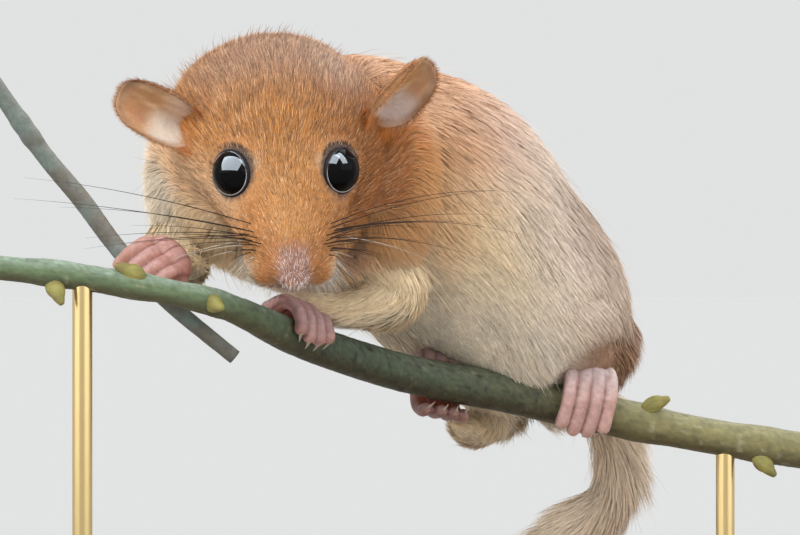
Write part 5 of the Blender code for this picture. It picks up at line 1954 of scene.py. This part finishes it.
class DisplayStand:
    """The plain base with rounded corners, and two brass rods with collars up to the branch."""

    CORNER = 8.0
    BEVEL = 1.1
    ROD_BEVEL = 0.1
    ROD_RISE = 0.5
    COLLAR_BEVEL = 0.35

    def base(self) -> Surface:
        """Returns a slab whose outline is a rectangle with round corners, with rounded upper edges.

        The outline is drawn in by bevel * (1 - cos a) as it rises by bevel * sin a.
        """
        low, high = (np.array(corner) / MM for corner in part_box("stand_base"))
        middle, half = (low + high) / 2, (high - low) / 2
        turn = np.linspace(0.0, math.pi / 2, 16)
        corner = np.column_stack([np.cos(turn), np.sin(turn)])
        outline, normal = [], []
        for quarter in range(4):
            c, s = math.cos(quarter * math.pi / 2), math.sin(quarter * math.pi / 2)
            spun = corner @ np.array([[c, s], [-s, c]])
            sign = np.sign(np.array([c - s, s + c]))
            outline.append((half[:2] - self.CORNER) * sign + spun * self.CORNER)
            normal.append(spun)
        outline, normal = np.vstack(outline), np.vstack(normal)
        steps = np.linspace(0.0, math.pi / 2, 7)
        foot = 0.4
        levels = [(foot, low[2])] + [(0.0, low[2] + foot)]
        levels += [(self.BEVEL * (1 - math.cos(a)), high[2] - self.BEVEL * (1 - math.sin(a))) for a in steps]
        rings = [
            np.column_stack([middle[:2] + outline - normal * inset, np.full(len(outline), z)])
            for inset, z in levels
        ]
        return capped(np.array(rings), (*middle[:2], low[2]), (*middle[:2], high[2]))

    @staticmethod
    def lathe(node: str, bevel: float, top: float = 0.0) -> Surface:
        """Returns a round bar in a node's box, with its edges rounded by bevel and its top raised by top."""
        low, high = (np.array(corner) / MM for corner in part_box(node))
        middle = (low + high) / 2
        radius = (high[0] - low[0]) / 2
        a = np.linspace(0.0, math.pi / 2, 6)
        profile = np.vstack([
            np.column_stack([radius - bevel + bevel * np.sin(a), low[2] + bevel * (1 - np.cos(a))]),
            np.column_stack([radius - bevel + bevel * np.cos(a), high[2] + top - bevel * (1 - np.sin(a))]),
        ])
        turn = np.arange(64) * 2 * math.pi / 64
        ring = np.column_stack([np.cos(turn), np.sin(turn)])
        rings = [np.column_stack([middle[:2] + ring * r, np.full(64, z)]) for r, z in profile]
        return capped(np.array(rings), (*middle[:2], profile[0, 1]), (*middle[:2], profile[-1, 1]))

    def build(self, materials: Finishes) -> None:
        """Makes the base, rods and collars."""
        self.base().piece("base_slab", materials["wood"], "stand_wood", "stand_base")
        for side in ("left", "right"):
            rod, collar = f"stand_rod_{side}", f"stand_collar_{side}"
            bar = self.lathe(rod, self.ROD_BEVEL, self.ROD_RISE)
            bar.piece(f"rod_{side}", materials["brass"], "stand_brass", rod)
            ring = self.lathe(collar, self.COLLAR_BEVEL)
            ring.piece(f"collar_{side}", materials["brass"], "stand_brass", collar)


class Studio:
    """The pale floor, the soft light and the camera at the photograph's place."""

    FLOOR = (0.45, 0.455, 0.455)
    SKY = 0.85
    LAMPS = (
        # name, direction towards the lamp, power, angular size
        ("key", (-0.42, -0.58, 0.70), 1.8, 40.0),
        ("fill_left", (-0.85, -0.50, 0.10), 1.0, 60.0),
        ("fill_right", (0.80, -0.50, 0.33), 1.0, 60.0),
        ("back", (0.45, 0.50, 0.74), 1.2, 45.0),
    )

    def build(self) -> None:
        """Makes the floor, lights, world and camera."""
        scene = bpy.context.scene
        scene.view_settings.view_transform = "Standard"
        self.camera(scene)
        self.floor()
        self.lights(scene)
        self.world(scene)

    @staticmethod
    def camera(scene: bpy.types.Scene) -> None:
        """Puts the camera level with the animal, looking along Y, with a long lens."""
        lens = bpy.data.cameras.new("camera")
        lens.lens = 180.0
        lens.sensor_width = 36.0
        lens.clip_start = 0.01
        lens.clip_end = 20.0
        obj = bpy.data.objects.new("camera", lens)
        obj.location = (-0.00165, -0.419, 0.069)
        obj.rotation_euler = (math.radians(90.0), 0.0, 0.0)
        scene.collection.objects.link(obj)
        scene.camera = obj

    def floor(self) -> None:
        """Makes a round flat floor that runs on to the horizon."""
        turn = np.arange(96) * 2 * math.pi / 96
        out = np.array([0.001, 0.3, 1.0, 3.0, 9.0]) * 1000
        around = np.stack([np.cos(turn), np.sin(turn), np.zeros(96)], axis=-1)
        rings = out[:, None, None] * around
        cover = Surface(rings.reshape(-1, 3), grid_faces(len(out), 96)[:, ::-1])
        obj = bpy.data.objects.new("studio_floor", cover.mesh("studio_floor"))
        bpy.context.scene.collection.objects.link(obj)
        shader = Shader("studio_floor", 1.0)
        shader.principled.inputs[SPECULAR].default_value = 0.0
        shader.principled.inputs["Base Color"].default_value = (*self.FLOOR, 1.0)
        obj.data.materials.append(shader.material)

    def lights(self, scene: bpy.types.Scene) -> None:
        """Sets wide soft lamps, far off: high at the left in front, low at each side, and high behind."""
        for name, toward, power, size in self.LAMPS:
            lamp = bpy.data.lights.new(name, "SUN")
            lamp.energy = power
            lamp.angle = math.radians(size)
            obj = bpy.data.objects.new(name, lamp)
            obj.rotation_euler = Vector(toward).to_track_quat("Z", "Y").to_euler()
            scene.collection.objects.link(obj)

    @staticmethod
    def window(glossy: list[Object]) -> None:
        """Hangs pale blue panes high in front, whose light falls on one eye's glossy pieces each.

        Args:
            glossy: The pieces that mirror them.
        """
        for side, name, toward, width, height in (
            ("eye_right", "pane_1", (-0.36, -0.58, 0.72), 0.58, 0.42),
            ("eye_left", "pane_2", (-0.22, -0.52, 0.82), 0.30, 0.28),
            ("eye_left", "pane_3", (0.46, -0.34, 0.82), 0.14, 0.30),
            ("eye_right", "pane_4", (0.50, -0.40, 0.76), 0.10, 0.20),
        ):
            group = bpy.data.collections.new(name)
            for piece in glossy:
                if piece.name.startswith(side):
                    group.objects.link(piece)
            lamp = bpy.data.lights.new(name, "AREA")
            lamp.shape = "RECTANGLE"
            lamp.size, lamp.size_y = width, height
            lamp.energy = 300.0 * width * height
            lamp.color = (0.80, 0.90, 1.0)
            obj = bpy.data.objects.new(name, lamp)
            toward = Vector(toward).normalized()
            obj.location = Vector((-0.012, -0.02, 0.078)) + toward * 0.3
            obj.rotation_euler = toward.to_track_quat("Z", "Y").to_euler()
            obj.visible_camera = False
            obj.visible_diffuse = False
            obj.light_linking.receiver_collection = group
            bpy.context.scene.collection.objects.link(obj)

    def world(self, scene: bpy.types.Scene) -> None:
        """Sets a pale sky, and shows the camera the floor's own tone beyond the floor.

        The floor's tone is its colour times the sky's strength plus each lamp's power times its
        height over pi, so that no horizon shows.
        """
        world = bpy.data.worlds.new("studio")
        world.use_nodes = True
        tree = world.node_tree
        sky = tree.nodes["Background"]
        sky.inputs["Color"].default_value = (1.0, 1.0, 1.0, 1.0)
        sky.inputs["Strength"].default_value = self.SKY
        shown = tree.nodes.new("ShaderNodeBackground")
        lit = (power * toward[2] / np.linalg.norm(toward) / math.pi for _, toward, power, _ in self.LAMPS)
        light = self.SKY + sum(lit)
        shown.inputs["Color"].default_value = (*self.FLOOR, 1.0)
        shown.inputs["Strength"].default_value = float(light)
        path = tree.nodes.new("ShaderNodeLightPath")
        pick = tree.nodes.new("ShaderNodeMixShader")
        tree.links.new(path.outputs["Is Camera Ray"], pick.inputs["Fac"])
        tree.links.new(sky.outputs[0], pick.inputs[1])
        tree.links.new(shown.outputs[0], pick.inputs[2])
        tree.links.new(pick.outputs[0], tree.nodes["World Output"].inputs["Surface"])
        scene.world = world


def main() -> None:
    logging.basicConfig(level=logging.INFO, format="%(message)s")
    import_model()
    studio = Studio()
    studio.build()
    grain = grain_group()
    materials = {name: finish.build(grain) for name, finish in FINISHES.items()}
    skin = Body().build(materials)
    studio.window(Eyes().build(materials))
    coat = Coat(materials)
    coat.grow_body(skin)
    for ear in (
        Ear("ear_right", -1, (-6.5, 0.4, 8.2), (-0.28, 0.3, 0.92), (0.75, 0.62, 0.1), 1.0),
        Ear(
            "ear_left", 1, (-6.6, 0.6, 9.0), (-0.22, 0.72, 0.6), (0.8, 0.2, 0.45), -1.0,
            hollow=(0.55, 0.42, 0.37),
        ),
    ):
        ear.build(materials, coat)
    Nose().build(materials, coat)
    for foot in FEET:
        foot.build(materials, coat)
    Whiskers(coat.random).build(materials)
    Perch().build(materials)
    DisplayStand().build(materials)
    LOG.info("coat: %d triangles", coat.triangles)


if __name__ == "__main__":
    main()
